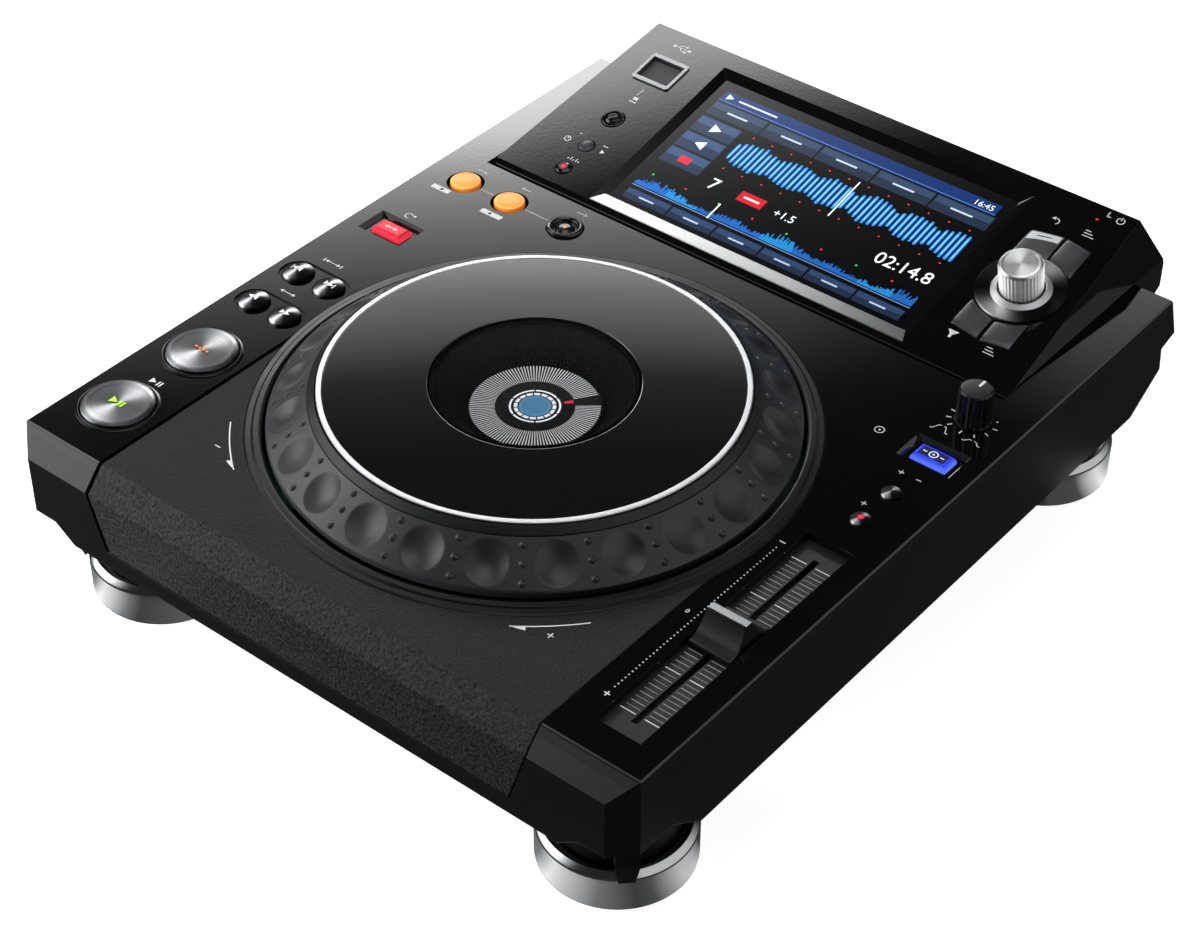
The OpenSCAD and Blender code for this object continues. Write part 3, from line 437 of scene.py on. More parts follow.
class Sheet:
    # flat shapes laid a hair above a surface; `tone` is a colour and a lift, where a shape
    # has its own, and a lift is a height or a function that gives each point's height
    def __init__(self, colour=None, lift=0.0):
        self.colour, self.lift = colour, lift
        self.points, self.faces, self.tints, self.count = [], [], [], 0

    def add(self, flat, faces, colour=None, lift=None):
        lift = self.lift if lift is None else lift
        high = lift(flat) if callable(lift) else np.full(len(flat), lift)
        self.points.append(np.c_[flat, high])
        self.faces += [[self.count + i for i in face] for face in faces]
        self.tints += [hexLinear(colour or self.colour)] * len(faces)
        self.count += len(flat)

    def shape(self, outline, *tone):
        self.add(np.asarray(outline, float), [range(len(outline))], *tone)

    def box(self, x0, y0, x1, y1, *tone):
        self.shape([[x0, y0], [x1, y0], [x1, y1], [x0, y1]], *tone)

    def bar(self, x, y, dx, dy, *tone):
        # a box given by its middle and half sizes
        self.box(x - dx, y - dy, x + dx, y + dy, *tone)

    def stroke(self, line, width, *tone):
        line = np.asarray(line, float)
        d = np.gradient(line, axis=0)
        side = np.c_[-d[:, 1], d[:, 0]] / np.linalg.norm(d, axis=1)[:, None] * (width / 2)
        self.shape(np.vstack([line - side, (line + side)[::-1]]), *tone)

    def legs(self, line, width, *tone):
        # a bent line as one stroke per straight leg
        for ends in zip(line[:-1], line[1:]):
            self.stroke(ends, width, *tone)

    def arc(self, centre, r0, r1, a0, a1, *tone, steps=None):
        # ring sector between two radii and two angles in degrees
        a = np.linspace(a0, a1, (steps or max(2, int(abs(a1 - a0) / 4))) + 1)
        self.shape(np.vstack([onRing(centre, r0, a[::-1]), onRing(centre, r1, a)]), *tone)

    def disc(self, centre, r, *tone, steps=24):
        self.shape(onRing(centre, r, np.linspace(0, 360, steps, endpoint=False)), *tone)

    def arrow(self, tip, size, turn, *tone, wide=0.55):
        # triangle with its point at `tip`, facing `turn` degrees from +x
        a = math.radians(turn)
        m = np.array([[math.cos(a), math.sin(a)], [-math.sin(a), math.cos(a)]])
        flat = np.array([[0, 0], [-size, size * wide], [-size, -size * wide]])
        self.shape(flat @ m + np.asarray(tip), *tone)

    def pill(self, x0, y0, x1, y1, r, *tone):
        q = np.linspace(0, 90, 6)
        corners = [(x1 - r, y1 - r), (x0 + r, y1 - r), (x0 + r, y0 + r), (x1 - r, y0 + r)]
        self.shape(np.vstack([onRing(c, r, q + 90 * k) for k, c in enumerate(corners)]), *tone)

    def words(self, text, at, size, *tone, align="LEFT"):
        # plain figures from the built-in typeface, flattened to faces
        curve = bpy.data.curves.new("figures", "FONT")
        curve.body, curve.size, curve.align_x = text, size, align
        curve.resolution_u = 3
        holder = addObject("figures", curve)
        mesh = bpy.data.meshes.new_from_object(
            holder.evaluated_get(bpy.context.evaluated_depsgraph_get()))
        flat = pointsOf(mesh)[:, :2] + np.asarray(at, float)
        self.add(flat, [list(p.vertices) for p in mesh.polygons], *tone)
        bpy.data.objects.remove(holder)
        bpy.data.curves.remove(curve)

    def build(self, name, material, body, place=deckPoints, nodes=()):
        mesh = newMesh(name, place(np.vstack(self.points)), self.faces)
        sizes = [len(f) for f in self.faces]
        addTint(mesh, "CORNER", np.repeat(self.tints, sizes, axis=0))
        normals = np.zeros(len(mesh.polygons) * 3)
        mesh.polygons.foreach_get("normal", normals)
        down = np.flatnonzero(normals.reshape(-1, 3)[:, 2] < 0)
        bm = bmesh.new()
        bm.from_mesh(mesh)
        bm.faces.ensure_lookup_table()
        bmesh.ops.reverse_faces(bm, faces=[bm.faces[i] for i in down])
        bm.to_mesh(mesh)
        bm.free()
        finishObject(mesh, material, body, nodes)


# camera, lights and floor

camera = {
    "place": (526.44, -487.20, 641.29),  # mm about the deck
    "azimuth": 38.844, "elevation": 39.523, "roll": 0.41, "lens": 79.31,
}


def stand(obj, right, up, back, at):
    # turns an object to three axes and puts it at a place in metres
    m = np.eye(4)
    m[:3] = np.stack([right, up, back, at], -1)
    obj.matrix_world = Matrix(m.tolist())


def buildCamera():
    az, el, roll = (math.radians(camera[k]) for k in ("azimuth", "elevation", "roll"))
    ahead = np.array([-math.sin(az) * math.cos(el), math.cos(az) * math.cos(el), -math.sin(el)])
    right = np.cross(ahead, (0, 0, 1))
    right /= np.linalg.norm(right)
    up = np.cross(right, ahead)
    data = bpy.data.cameras.new("camera")
    data.lens, data.sensor_width, data.clip_end = camera["lens"], 36, 50
    obj = addObject("camera", data)
    stand(obj, right * math.cos(roll) + up * math.sin(roll),
          up * math.cos(roll) - right * math.sin(roll), -ahead, deckPoints(camera["place"]))
    bpy.context.scene.camera = obj


floor = {"size": 4.0, "albedo": 0.5, "seen": 0.92, "mirrored": 0.05}


def buildFloor():
    # pale matte sheet under the feet: the camera sees it bright with its shadows, and
    # polished faces see it dim
    s = floor["size"]
    mesh = newMesh("floor", [(-s, -s, 0), (s, -s, 0), (s, s, 0), (-s, s, 0)], [(0, 1, 2, 3)])
    mat = bpy.data.materials.new("pale_sheet")
    tree = emptyTree(mat)
    ray = addNode(tree, "LightPath").outputs
    matte = addNode(tree, "BsdfPrincipled", {
        "Base Color": (floor["albedo"],) * 3 + (1,), "Specular IOR Level": 0.0,
        "Roughness": spread(tree, grainNoise(tree, 60), 0.85, 0.95)})
    glow, dim = (addNode(tree, "Emission", {"Strength": floor[k]}) for k in ("seen", "mirrored"))
    both = addNode(tree, "AddShader", {0: matte, 1: glow})
    pick = mixShader(tree, ray["Is Camera Ray"], matte, both)
    polish = mixShader(tree, ray["Is Glossy Ray"], pick, dim)
    addNode(tree, "OutputMaterial", {"Surface": polish})
    mesh.materials.append(mat)
    obj = addObject("floor", mesh)


feet = {"x": 118.0, "front": 31.4, "back": 321.0, "r": 30.5, "floor": -84.0}
selector = (107.0, 50.0)

# white cards laid round the feet and the selector, seen only in their polish: middle,
# inner and outer radius, then (degrees, brightness) stops round it
cardLow = feet["floor"] + 0.2
cards = [
    ((-feet["x"], feet["front"], cardLow), 30.6, 52, [
        (190, 0.1), (229, 0.35), (245, 1.6), (260, 1.1), (276, 0.35), (290, 0.1), (340, 0.2)]),
    ((feet["x"], feet["front"], cardLow), 30.6, 52, [
        (190, 0.1), (226, 0.3), (247, 1.5), (262, 1.05), (293, 0.3), (324, 0.08), (340, 0.14),
        (369, 0.9), (384, 0.8), (402, 0.1)]),
    ((feet["x"], feet["back"], cardLow), 30.6, 52, [
        (310, 0.1), (343, 0.12), (358, 0.9), (373, 1.4), (390, 0.6), (420, 0.1)]),
    ((-feet["x"], feet["back"], cardLow), 30.6, 52, [
        (90, 0.1), (150, 0.9), (200, 0.9), (262, 0.1)]),
    ((*selector, 1.3), 9.9, 40, [
        (130, 0.6), (180, 1.6), (226, 1.5), (260, 0.5), (285, 0.2), (330, 0.3), (352, 0.5),
        (400, 1.8), (440, 2.4), (480, 1.0)]),
]


def buildCards():
    # flat ring sectors of 61 x 4 points, lit on their upper side only
    points, tints = [], []
    for middle, r0, r1, stops in cards:
        at, level = np.array(stops).T
        deg, r = np.meshgrid(np.linspace(at[0], at[-1], 61), np.linspace(r0, r1, 4), indexing="ij")
        a = np.radians(deg)
        ring = np.stack([r * np.cos(a), r * np.sin(a), a * 0], -1) + np.array(middle)
        points.append((panelPoints if middle[2] > 0 else deckPoints)(ring))
        glow = np.interp(deg, at, level)
        tints.append(np.stack([glow, glow, glow, np.ones_like(glow)], -1))
    mesh = newMesh("cards", np.array(points).reshape(-1, 3), gridFaces(61, 4, len(cards)).tolist())
    addTint(mesh, "POINT", tints)
    mat = bpy.data.materials.new("white_card")
    tree = emptyTree(mat)
    side = addNode(tree, "NewGeometry").outputs["Backfacing"]
    glow = addNode(tree, "Emission", {"Color": addNode(tree, "Attribute", attribute_name="tint")})
    pick = mixShader(tree, side, glow, addNode(tree, "BsdfTransparent"))
    addNode(tree, "OutputMaterial", {"Surface": pick})
    mesh.materials.append(mat)
    obj = addObject("cards", mesh)
    obj.visible_camera = obj.visible_diffuse = obj.visible_shadow = False


# What polished faces mirror: a long soft box low behind the left that fades upwards, a
# smaller one above it that leans with the heading, and cards behind, at the front left, at
# the right and overhead. Each has how it rises, its strength, and (degrees, level) stops
# of its heading, from straight back towards the right, and of its height.
softBoxes = [
    ("rise", 9.0,
     [(-66, 0), (-58, 1), (-34.2, 1), (-32.6, 0.62), (-31.4, 0.37), (-30.1, 0.2), (-28.6, 0.11),
      (-24, 0)],
     [(21, 0), (27, 1), (31.3, 1), (32.3, 0.85), (33.1, 0.4), (34.3, 0.2), (35.6, 0.075),
      (37.4, 0.006), (39, 0)]),
    ("lean", 6.6,
     [(-74, 0), (-66, 1), (-46, 1), (-36, 0)],
     [(45.7, 0), (47.2, 1), (47.8, 1), (48.8, 0.59), (49.4, 0.27), (50.0, 0.1), (50.8, 0)]),
    ("rise", 1.3,
     [(-29, 0), (-26, 1), (-14, 1), (-6, 0)],
     [(26, 0), (30, 1), (34.4, 1), (36.3, 0.4), (38, 0)]),
    ("rise", 3.0,
     [(-160, 0), (-149, 0.22), (-141, 0.6), (-134, 1), (-98, 1), (-84, 0)],
     [(4, 0), (14, 1), (38, 1), (52, 0)]),
    ("rise", 0.9,
     [(15, 0), (40, 1), (110, 1), (130, 0)],
     [(0, 0), (8, 1), (50, 1), (66, 0)]),
    ("rise", 1.6, None, [(66, 0), (76, 1), (90, 1)]),
]
studio = {"cloth": 0.03, "seen": 1.0, "fill": 0.22, "leanFrom": 54.0, "leanBy": -0.12}


def buildWorld():
    # polished faces mirror the soft boxes on dark cloth, matte ones get an even fill, and
    # the camera sees white
    world = bpy.data.worlds.new("studio")
    tree = emptyTree(world)
    heading = addNode(tree, "TexCoord").outputs["Generated"]
    axes = addNode(tree, "SeparateXYZ", {0: heading}).outputs

    def times(a, b):
        return maths(tree, "MULTIPLY", a, b)

    def plus(a, b):
        return maths(tree, "ADD", a, b)

    def fade(value, stops):
        # level along one angle, from (degrees, level) stops with levels up to 1
        low, high = stops[0][0], stops[-1][0]
        ramp = addNode(tree, "ValToRGB", {0: spread(tree, value, 0, 1, low, high)})
        places = ramp.color_ramp.elements
        for angle, level in stops[1:-1]:
            places.new((angle - low) / (high - low)).color = (level, level, level, 1)
        places[0].color = (stops[0][1],) * 3 + (1,)
        places[len(stops) - 1].color = (stops[-1][1],) * 3 + (1,)
        return ramp

    def backdrop(strength):
        return addNode(tree, "Background", {"Color": (1, 1, 1, 1), "Strength": strength})

    rise = times(maths(tree, "ARCSINE", axes[2]), 180 / math.pi)
    swing = times(maths(tree, "ARCTAN2", axes[0], axes[1]), 180 / math.pi)
    lean = plus(rise, times(plus(swing, studio["leanFrom"]), studio["leanBy"]))
    total = studio["cloth"]
    for kind, strength, across, up in softBoxes:
        wide = fade(swing, across) if across else 1.0
        tall = fade(lean if kind == "lean" else rise, up)
        total = plus(times(times(wide, tall), strength), total)
    ray = addNode(tree, "LightPath").outputs
    first = mixShader(tree, ray["Is Glossy Ray"], backdrop(studio["fill"]), backdrop(total))
    last = mixShader(tree, ray["Is Camera Ray"], first, backdrop(studio["seen"]))
    addNode(tree, "OutputWorld", {"Surface": last})
    bpy.context.scene.world = world


lamps = {
    "keyLamp": {"at": (-0.42, -0.52, 0.16), "size": 0.3, "power": 10},
    "topLamp": {"at": (-0.25, 0.1, 1.3), "size": 0.9, "power": 8},
}
lampAim = (0, 0, 0.08)  # metres, like the lamps' places


def buildLamps():
    for name, spec in lamps.items():
        data = bpy.data.lights.new(name, "AREA")
        data.energy, data.size = spec["power"], spec["size"]
        obj = addObject(name, data)
        back = np.array(spec["at"]) - lampAim
        back /= np.linalg.norm(back)
        right = np.cross((0, 0, 1), back)
        right /= np.linalg.norm(right)
        stand(obj, right, np.cross(back, right), back, spec["at"])
        obj.visible_glossy = False


buildCamera()
buildFloor()
buildCards()
buildWorld()
buildLamps()
bpy.context.scene.view_settings.view_transform = "Standard"
print("stage set")


# shell

shell = [
    ("side_frame", "sideFrame", "frame", 0.4),
    ("deck_plate", "deckPlate", "gloss", 0.2),
    ("front_cover", "frontCover", "grain", 0.6),
    ("display_housing", "screenHood", "gloss", 0.25),
    ("screen_trim", "screenTrim", "chrome", 0.02),
    ("usb_frame", "portFrame", "frameMetal", 0.25),
    ("usb_flap", "portFlap", "flap", 0.15, "usb_cover"),
    ("bottom_case", "floorTray", "satin", 0.4),
    ("rear_panel", "rearPanel", "satin", 0.15),
    ("tempo_plate", "faderPlate", "plate", 0.1),
]


def buildFeet():
    # four turned sleeves with a rolled upper edge, in one mesh
    r, z = feet["r"], feet["floor"]
    ring = lathe(roundLine([
        (27.1, z + 3), (27.1, z + 0.8), (r, z + 0.8), (r, z + 17.2), (r - 2.6, z + 19.6),
        (26.6, z + 19.6), (26.6, z + 18.6), (24.7, z + 18.6), (24.7, z + 4), (27.1, z + 4),
        (27.1, z + 3)], [0.2, 1.6, 0.8, 0.6, 0.3, 0.2, 0.2, 0.2, 0.2]), 120)
    rings = [ring + (s * feet["x"], feet[k], 0) for s in (-1, 1) for k in ("front", "back")]
    mesh = gridMesh("footSleeves", rings, deckPoints)
    finishObject(mesh, "anodised", "case", ["foot_rings"])


for row in shell:
    dressed(*row)
buildFeet()
print("shell dressed")


# jog wheel

jog = {
    "centre": (0.0, 126.0), "top": 19.0, "plateR": 82.0, "windowR": 40.6, "pictureTop": 6.56,
    "slopeTop": (88.0, 15.6), "slopeFoot": (104.2, 3.7), "dimples": 24, "dimpleDeep": 1.9,
    "dimpleWide": 8.3, "dimpleTall": 8.8, "studR": 1.6, "studHigh": 1.1, "studSunk": 0.12,
    "studPitch": 7.2,
}


def buildRim():
    # a slope that is pushed in by (1 - q^2)^1.1 in each dimple
    inner, outer = np.array(jog["slopeTop"]), np.array(jog["slopeFoot"])
    middle = (inner + outer) / 2
    downhill = (outer - inner) / np.linalg.norm(outer - inner)
    normal = np.array([-downhill[1], downhill[0]])
    slope = inner + (outer - inner) * np.linspace(0, 1, 57)[:, None]
    tail = roundLine([outer, (104.6, 3.1), (104.6, 0.9), (101.6, 0.9), (101.6, 2.5), (88, 12.6),
                      inner], [0.3, 0.3, 0.1, 0.1, 0.1])[1:]
    pitch = 2 * math.pi / jog["dimples"]
    # distance down the slope from its middle; the tail counts as far from any dimple
    tall = np.r_[(slope - middle) @ downhill, np.full(len(tail), 99.0)]

    def press(a, r, z):
        off = (a + pitch / 2) % pitch - pitch / 2
        q2 = (off * r / jog["dimpleWide"]) ** 2 + (tall / jog["dimpleTall"]) ** 2
        push = jog["dimpleDeep"] * np.clip(1 - q2, 0, 1) ** 1.1
        return r - push * normal[0], z - push * normal[1]

    grid = lathe(np.vstack([slope, tail]), jog["dimples"] * 44, press)
    mesh = gridMesh("rubberRim", [grid], shiftTo(jog["centre"]))
    finishObject(mesh, "rubber", "jog_wheel", ["jog_rim"])

    # small round studs, three in a row between the dimples: a dome h (1 - s^2) off the slope
    s, b = np.linspace(0, 1, 6)[:, None], np.linspace(0, 2 * math.pi, 17)[None, :]
    u, v = jog["studR"] * s * np.cos(b), jog["studR"] * s * np.sin(b)
    h = jog["studHigh"] * (1 - s ** 2) - jog["studSunk"] + 0 * u
    rows = []
    for k in (-1, 0, 1):
        base = middle + downhill * (k * jog["studPitch"])
        rows.append([base[0] + v * downhill[0] + h * normal[0], u,
                     base[1] + v * downhill[1] + h * normal[1]])
    x, y, z = np.moveaxis(np.array(rows), 1, 0)
    turn = ((np.arange(jog["dimples"]) + 0.5) * pitch)[:, None, None, None]
    studs = np.stack([x * np.cos(turn) - y * np.sin(turn), x * np.sin(turn) + y * np.cos(turn),
                      z + 0 * turn], -1)
    mesh = gridMesh("rimStuds", studs.reshape(-1, 6, 17, 3), shiftTo(jog["centre"]))
    finishObject(mesh, "rubber", "jog_wheel")


def buildJog():
    top, p, w, c = jog["top"], jog["plateR"], jog["windowR"], jog["centre"]
    turned("touchPlate", c, "jogGloss", "jog_touch", ["jog_plate"], [
        (w + 0.8, top - 2.4), (w + 0.8, top), (p, top), (p, top - 2), (p + 2.3, top - 2),
        (p + 2.3, top - 3.6), (79, top - 3.6), (79, 3.8), (76.6, 3.8), (76.6, top - 2.4),
        (w + 0.8, top - 2.4)], [0.4, 0.15, 0.1, 0.1, 0.2, 0.2, 0.2, 0.2, 0.2], 192)
    turned("brightRing", c, "ring", "jog_touch", ["jog_ring"], [
        (p + 0.05, top - 1.98), (p + 0.05, top + 0.2), (p + 2.4, top + 0.2),
        (p + 2.4, top - 1.98), (p + 0.05, top - 1.98)], [0.3, 0.5, 0.1], 192)
    turned("wheelBand", c, "band", "jog_wheel", ["jog_hub"], [
        (28, -20), (28, -0.6), (87, -0.6), (97.8, 0.6), (101.4, 0.6), (101.4, 2.4), (87.9, 12.4),
        (87.9, 16.1), (p + 2.95, 18.6), (p + 2.95, 2.4), (24.05, 2.4), (24.05, -20), (28, -20)],
        [0.3, 0.3, 0.3, 0.2, 0.2, 0.2, 0.4, 0.4, 0.2, 0.2, 0.2], 192)
    turned("wheelBezel", c, "bezel", "case", ["jog_bezel"], [
        (106, -6), (106, 1.0), (107.3, 1.6), (109.6, 1.4), (110.3, 0.7), (112.6, 0.5),
        (113.3, 0.15), (113.3, 0.01), (111.7, 0.0), (111.7, -6), (106, -6)],
        [0.4, 0.4, 0.2, 0.2, 0.2, 0.2, 0.05, 0.05, 0.2], 192)
    turned("innerDish", c, "inside", "case", ["jog_dish"], [
        (13, 3.65), (28, 3.65), (w - 0.1, 17.2), (w, 17.6), (w, top + 0.3), (w - 0.7, top + 0.3),
        (w - 0.7, 17.4), (w - 1.6, 17.4), (27.2, 5.2), (13, 5.2), (13, 3.65)], 0.15, 128)


def buildJogPicture():
    # round centre display: fine spokes, two broken rings and a lit middle
    c, back = jog["centre"], jog["pictureTop"]
    mid, front = back + 0.03, back + 0.05
    sheet = Sheet()
    sheet.disc(c, 26.3, "#020203", back, steps=96)
    for a in np.arange(56.5, 402, 2.88):
        sheet.arc(c, 15.7, 25.6, a - 0.62, a + 0.62, "#b6b8ba", mid, steps=1)
    for k in range(6):
        sheet.arc(c, 9.4, 10.2, k * 60 + 12, k * 60 + 68, "#e9ebee", mid)
    for k in range(16):
        sheet.arc(c, 6.9, 8.3, k * 22.5 + 2, k * 22.5 + 20.5, "#dfe3e7", mid)
    sheet.disc(c, 6.4, "#5683a6", mid, steps=48)
    sheet.disc(c, 5.4, "#47779c", front, steps=48)
    sheet.arc(c, 11.6, 15.2, 46.5, 53.5, "#c8283a", front, steps=3)
    sheet.build("centrePicture", "picture", "case", nodes=["jog_display"])


buildRim()
buildJog()
buildJogPicture()
print("jog wheel built")


# deck controls

spots = {
    "play": (-131.5, 28.5), "cue": (-131.2, 73.8), "keyX": -131.5, "keyDx": 8.8,
    "searchY": 112.4, "trackY": 138.5, "direction": (-132.4, 187.4), "loopIn": (-131.5, 234.4),
    "loopOut": (-106.4, 234.6), "reloop": (-75.2, 234.8), "speed": (132.5, 234.0),
    "mode": (132.4, 206.4), "range": (132.6, 177.1), "master": (132.4, 157.2),
    "fader": (131.6, 76.7),
}
flange = -5.4  # underside of every deck button
panelFoot = -5.0  # and of every round panel button
# radius, top and crown of the domed caps
domes = {"key": (6.8, 2.2, 1.6), "tempo": (4.2, 1.4, 0.9), "panel": (3.7, 1.1, 0.8)}
# heights of the marks on the deck's controls
inkOn = {"bigCap": 2.0, "block": 0.24, "speedKnob": 16.04, "faderCap": 8.84, "faderPlate": -3.16}


def buildTransport():
    # the face is a shallow dish: z = 1.85 - 0.25 (1 - r/11)^2
    rim = roundLine([(0, 1.85), (13.2, 1.95), (14.8, 1.5), (14.8, -4), (15.9, -4), (15.9, flange),
                     (0, flange)], [0.8, 0.5, 0.2, 0.2, 0.2])
    s = np.linspace(0, 1, 14)
    line = np.vstack([np.c_[11 * s, 1.85 - 0.25 * (1 - s) ** 2], rim[1:]])
    for key in ("play", "cue"):
        turned(key + "Cap", spots[key], "spun", key, [key + "_button"], line, steps=128)
    # the two collars share one node, so they are one mesh
    ring = lathe(roundLine([(15.2, -3), (16.3, -3), (16.3, 0.01), (16.9, 0.02), (16.8, 0.5),
                            (15.7, 0.75), (15.2, 0.3), (15.2, -3)], 0.2), 96)
    mesh = gridMesh("capCollars", [ring + (*spots[k], 0) for k in ("play", "cue")], deckPoints)
    finishObject(mesh, "dome", "case", ["transport_rings"])


def domeLine(r, top, crown, foot=flange):
    # cap whose crown falls off as the square of the radius, then a skirt and a flange
    s = np.linspace(0, 0.94, 10)
    head = np.c_[r * s, top - crown * s ** 2]
    return np.vstack([head, roundLine([
        head[-1], (r, top - crown - 0.06 * r), (r, foot + 1.4), (r + 1.1, foot + 1.4),
        (r + 1.1, foot), (0, foot)], [0.25, 0.1, 0.1, 0.1])[1:]])


def onDome(centre, r, top, crown, lift=0.2):
    # height just above such a cap, for marks printed on it
    return lambda q: top + lift - crown * ((q - np.array(centre)) ** 2).sum(1) / r ** 2


def buildSmallCaps():
    for kind in ("search", "track"):
        for way, side in ((-1, "back"), (1, "forward")):
            node = f"{kind}_{side}"
            name = kind + side.title() + "Cap"
            x, y = spots["keyX"] + way * spots["keyDx"], spots[kind + "Y"]
            turned(name, (x, y), "spunDark", node + "_key", [node], domeLine(*domes["key"]),
                   steps=64)
            ink = Sheet("#eceded", onDome((x, y), *domes["key"]))
            for k in (0, 1):
                ink.arrow((x + way * (2.6 - 2.3 * k), y), 2.3, 90 - 90 * way, wide=0.6)
            if kind == "track":
                ink.bar(x + way * 2.9, y, 0.25, 1.4)
            ink.build(name + "Mark", "ink", node + "_key")
    for key, body in (("range", "tempo_range"), ("master", "master_tempo")):
        turned(body + "Cap", spots[key], "spunDark", body, [body + "_button"],
               domeLine(*domes["tempo"]), steps=48)
    r = 8.0
    turned("reloopCap", spots["reloop"], "dome", "reloop", ["reloop_button"], [
        (0, 0.9), (2.4, 0.75), (4.2, -0.2), (4.3, -0.6), (4.9, -0.6), (5.5, 1), (6.6, 1.5),
        (r - 0.4, 1.3), (r, 0.6), (r, -4), (r + 1.1, -4), (r + 1.1, flange), (0, flange)],
        0.3, 72)


def buildLoopCaps():
    # a round lit cap in a dark well; its crown falls as the radius to the fourth
    t = np.linspace(0, 1, 10)
    line = np.vstack([np.c_[6.4 * t, 1.35 - 0.3 * t ** 4], [[6.75, 0.7], [6.8, -1.5], [0, -1.5]]])
    # the lit colour by radius: a paler ring near the edge is a painted highlight, and the darker
    # outer edge is painted shade
    capGlowAndPaintedRim = [(0, "#ee9148"), (5.0, "#ea873a"), (6.4, "#f39c50"), (6.8, "#b45f22")]
    for key, body in (("loopIn", "loop_in"), ("loopOut", "loop_out")):
        cap = turned(key + "Cap", spots[key], "lamp", body, [body + "_button"], line, steps=72)
        middle = deckPoints((*spots[key], 0))[:2]
        away = np.linalg.norm(pointsOf(cap.data)[:, :2] - middle, axis=1) / mm
        addTint(cap.data, "POINT", blendStops(away, capGlowAndPaintedRim))
        turned(key + "Collar", spots[key], "inside", body, (), [
            (0, -1.45), (8.0, -1.45), (8.0, -4), (9.2, -4), (9.2, flange), (0, flange)],
            0.15, 64)


def litBlock(top, side):
    # colour by height: the walls glow, the top is the deeper shade
    return lambda p: blendStops((p[:, 2] - deckTop) / mm, [(-4, side), (-1.2, side), (0.1, top)])


def buildBlocks():
    dressed("direction_button", "directionCap", "lamp", 0.45, "direction",
            litBlock("#a80f22", "#f03a4a"))
    dressed("jog_mode_button", "modeCap", "lamp", 0.45, "jog_mode",
            litBlock("#2036c8", "#5f7cff"))
    base = inkOn["block"]
    ink = Sheet("#f59aa2", base + 0.03)
    x, y = spots["direction"]
    ink.pill(x - 5.2, y - 2.3, x + 5.2, y + 2.3, 0.6, "#cf1e33", base)
    ink.arrow((x - 3.6, y), 2.0, 180)
    ink.arrow((x + 3.6, y), 2.0, 0)
    ink.bar(x, y, 1.9, 0.3)
    ink.build("directionMark", "lamp", "direction")
    ink = Sheet("#c9d3ff", base + 0.03)
    x, y = spots["mode"]
    ink.pill(x - 5.8, y - 2.6, x + 5.8, y + 2.6, 0.5, "#0a1030", base)
    ink.arc((x, y), 1.5, 2.0, 0, 360)
    ink.disc((x, y), 0.5, steps=14)
    for s in (-1, 1):
        ink.bar(x + s * 3.9, y, 0.9, 0.25)
    ink.build("modeMark", "lamp", "jog_mode")


def knurl(count, deep, low, high, inner):
    # teeth between two heights, outside `inner`: the radius swings in a triangle wave
    def bend(a, r, z):
        swing = np.abs((a * count / (2 * math.pi)) % 1 - 0.5) * 2 - 0.5
        return r + deep * swing * ((z > low) & (z < high) & (r > inner)), z
    return bend


def buildSpeedKnob():
    x, y = spots["speed"]
    turned("speedKnob", (x, y), "knobBlack", "speed", ["speed_knob"], [
        (0, 16), (6, 16), (6.7, 15.3), (7.1, 2), (7.6, 0.5), (3, 0.5), (3, -13), (0, -13)],
        [0.4, 0.6, 0.6, 0.3, 0.1, 0.1], 216, bend=knurl(18, 0.6, 1.2, 15.4, 6.2))
    ink = Sheet("#e9eaeb", inkOn["speedKnob"])
    ink.box(x - 0.55, y + 1.6, x + 0.55, y + 5.9)
    ink.build("speedPointer", "ink", "speed")


def buildFader():
    dressed("tempo_cap", "faderCap", "cap", 0.35, "tempo")
    sheet = Sheet("#c4c7ca", inkOn["faderCap"])
    sheet.bar(*spots["fader"], 8.4, 1.55)
    sheet.build("faderBar", "plated", "tempo")


buildTransport()
buildSmallCaps()
buildLoopCaps()
buildBlocks()
buildSpeedKnob()
buildFader()
print("deck controls built")


# panel controls

panelSpots = {
    "stop": (-104.7, 46.3), "time": (-104.1, 26.3), "quantize": (-104.0, 9.8),
    "sleep": (111.6, 100.6), "power": (120.6, 104.5),
}

# corners of the four keys round the selector: outer pair first, then the pair by the knob
keys = {
    "back": [(91.9, 82), (106.2, 84.8), (106.5, 66), (91.4, 64)],
    "tag": [(107.7, 84.8), (120.1, 82.2), (120.1, 64), (107.5, 66)],
    "filter": [(92.5, 19.9), (105.9, 17.9), (106.2, 36), (93, 38)],
    "shortcut": [(107.9, 17.6), (120.6, 19.3), (120.1, 38), (107.7, 36)],
}
keyShape = {"clear": 19.9, "foot": -4.9}  # radius kept clear round the knob; underside


def keySurface(corners, u, v):
    # u runs across, v from the outer edge to the disc round the knob (the nearer root of
    # |outer + v d - centre| = clear); height is 0.6 - 0.35 (2u-1)^6 - 0.6 (2v-1)^6
    p = np.array(corners, float)
    u, v = np.broadcast_arrays(u, v)
    outer = p[0] + (p[1] - p[0]) * u[..., None]
    d = p[3] + (p[2] - p[3]) * u[..., None] - outer
    f = outer - np.array(selector)
    qa, qb, qc = (d * d).sum(-1), 2 * (d * f).sum(-1), (f * f).sum(-1) - keyShape["clear"] ** 2
    inside = qb ** 2 - 4 * qa * qc
    root = (-qb - np.sqrt(np.maximum(inside, 0))) / (2 * qa)
    end = np.where((inside > 0) & (root > 0) & (root < 1), root, 1.0)
    spot = outer + d * (end * v)[..., None]
    high = 0.6 - 0.35 * (2 * u - 1) ** 6 - 0.6 * (2 * v - 1) ** 6
    return np.concatenate([spot, high[..., None]], -1)


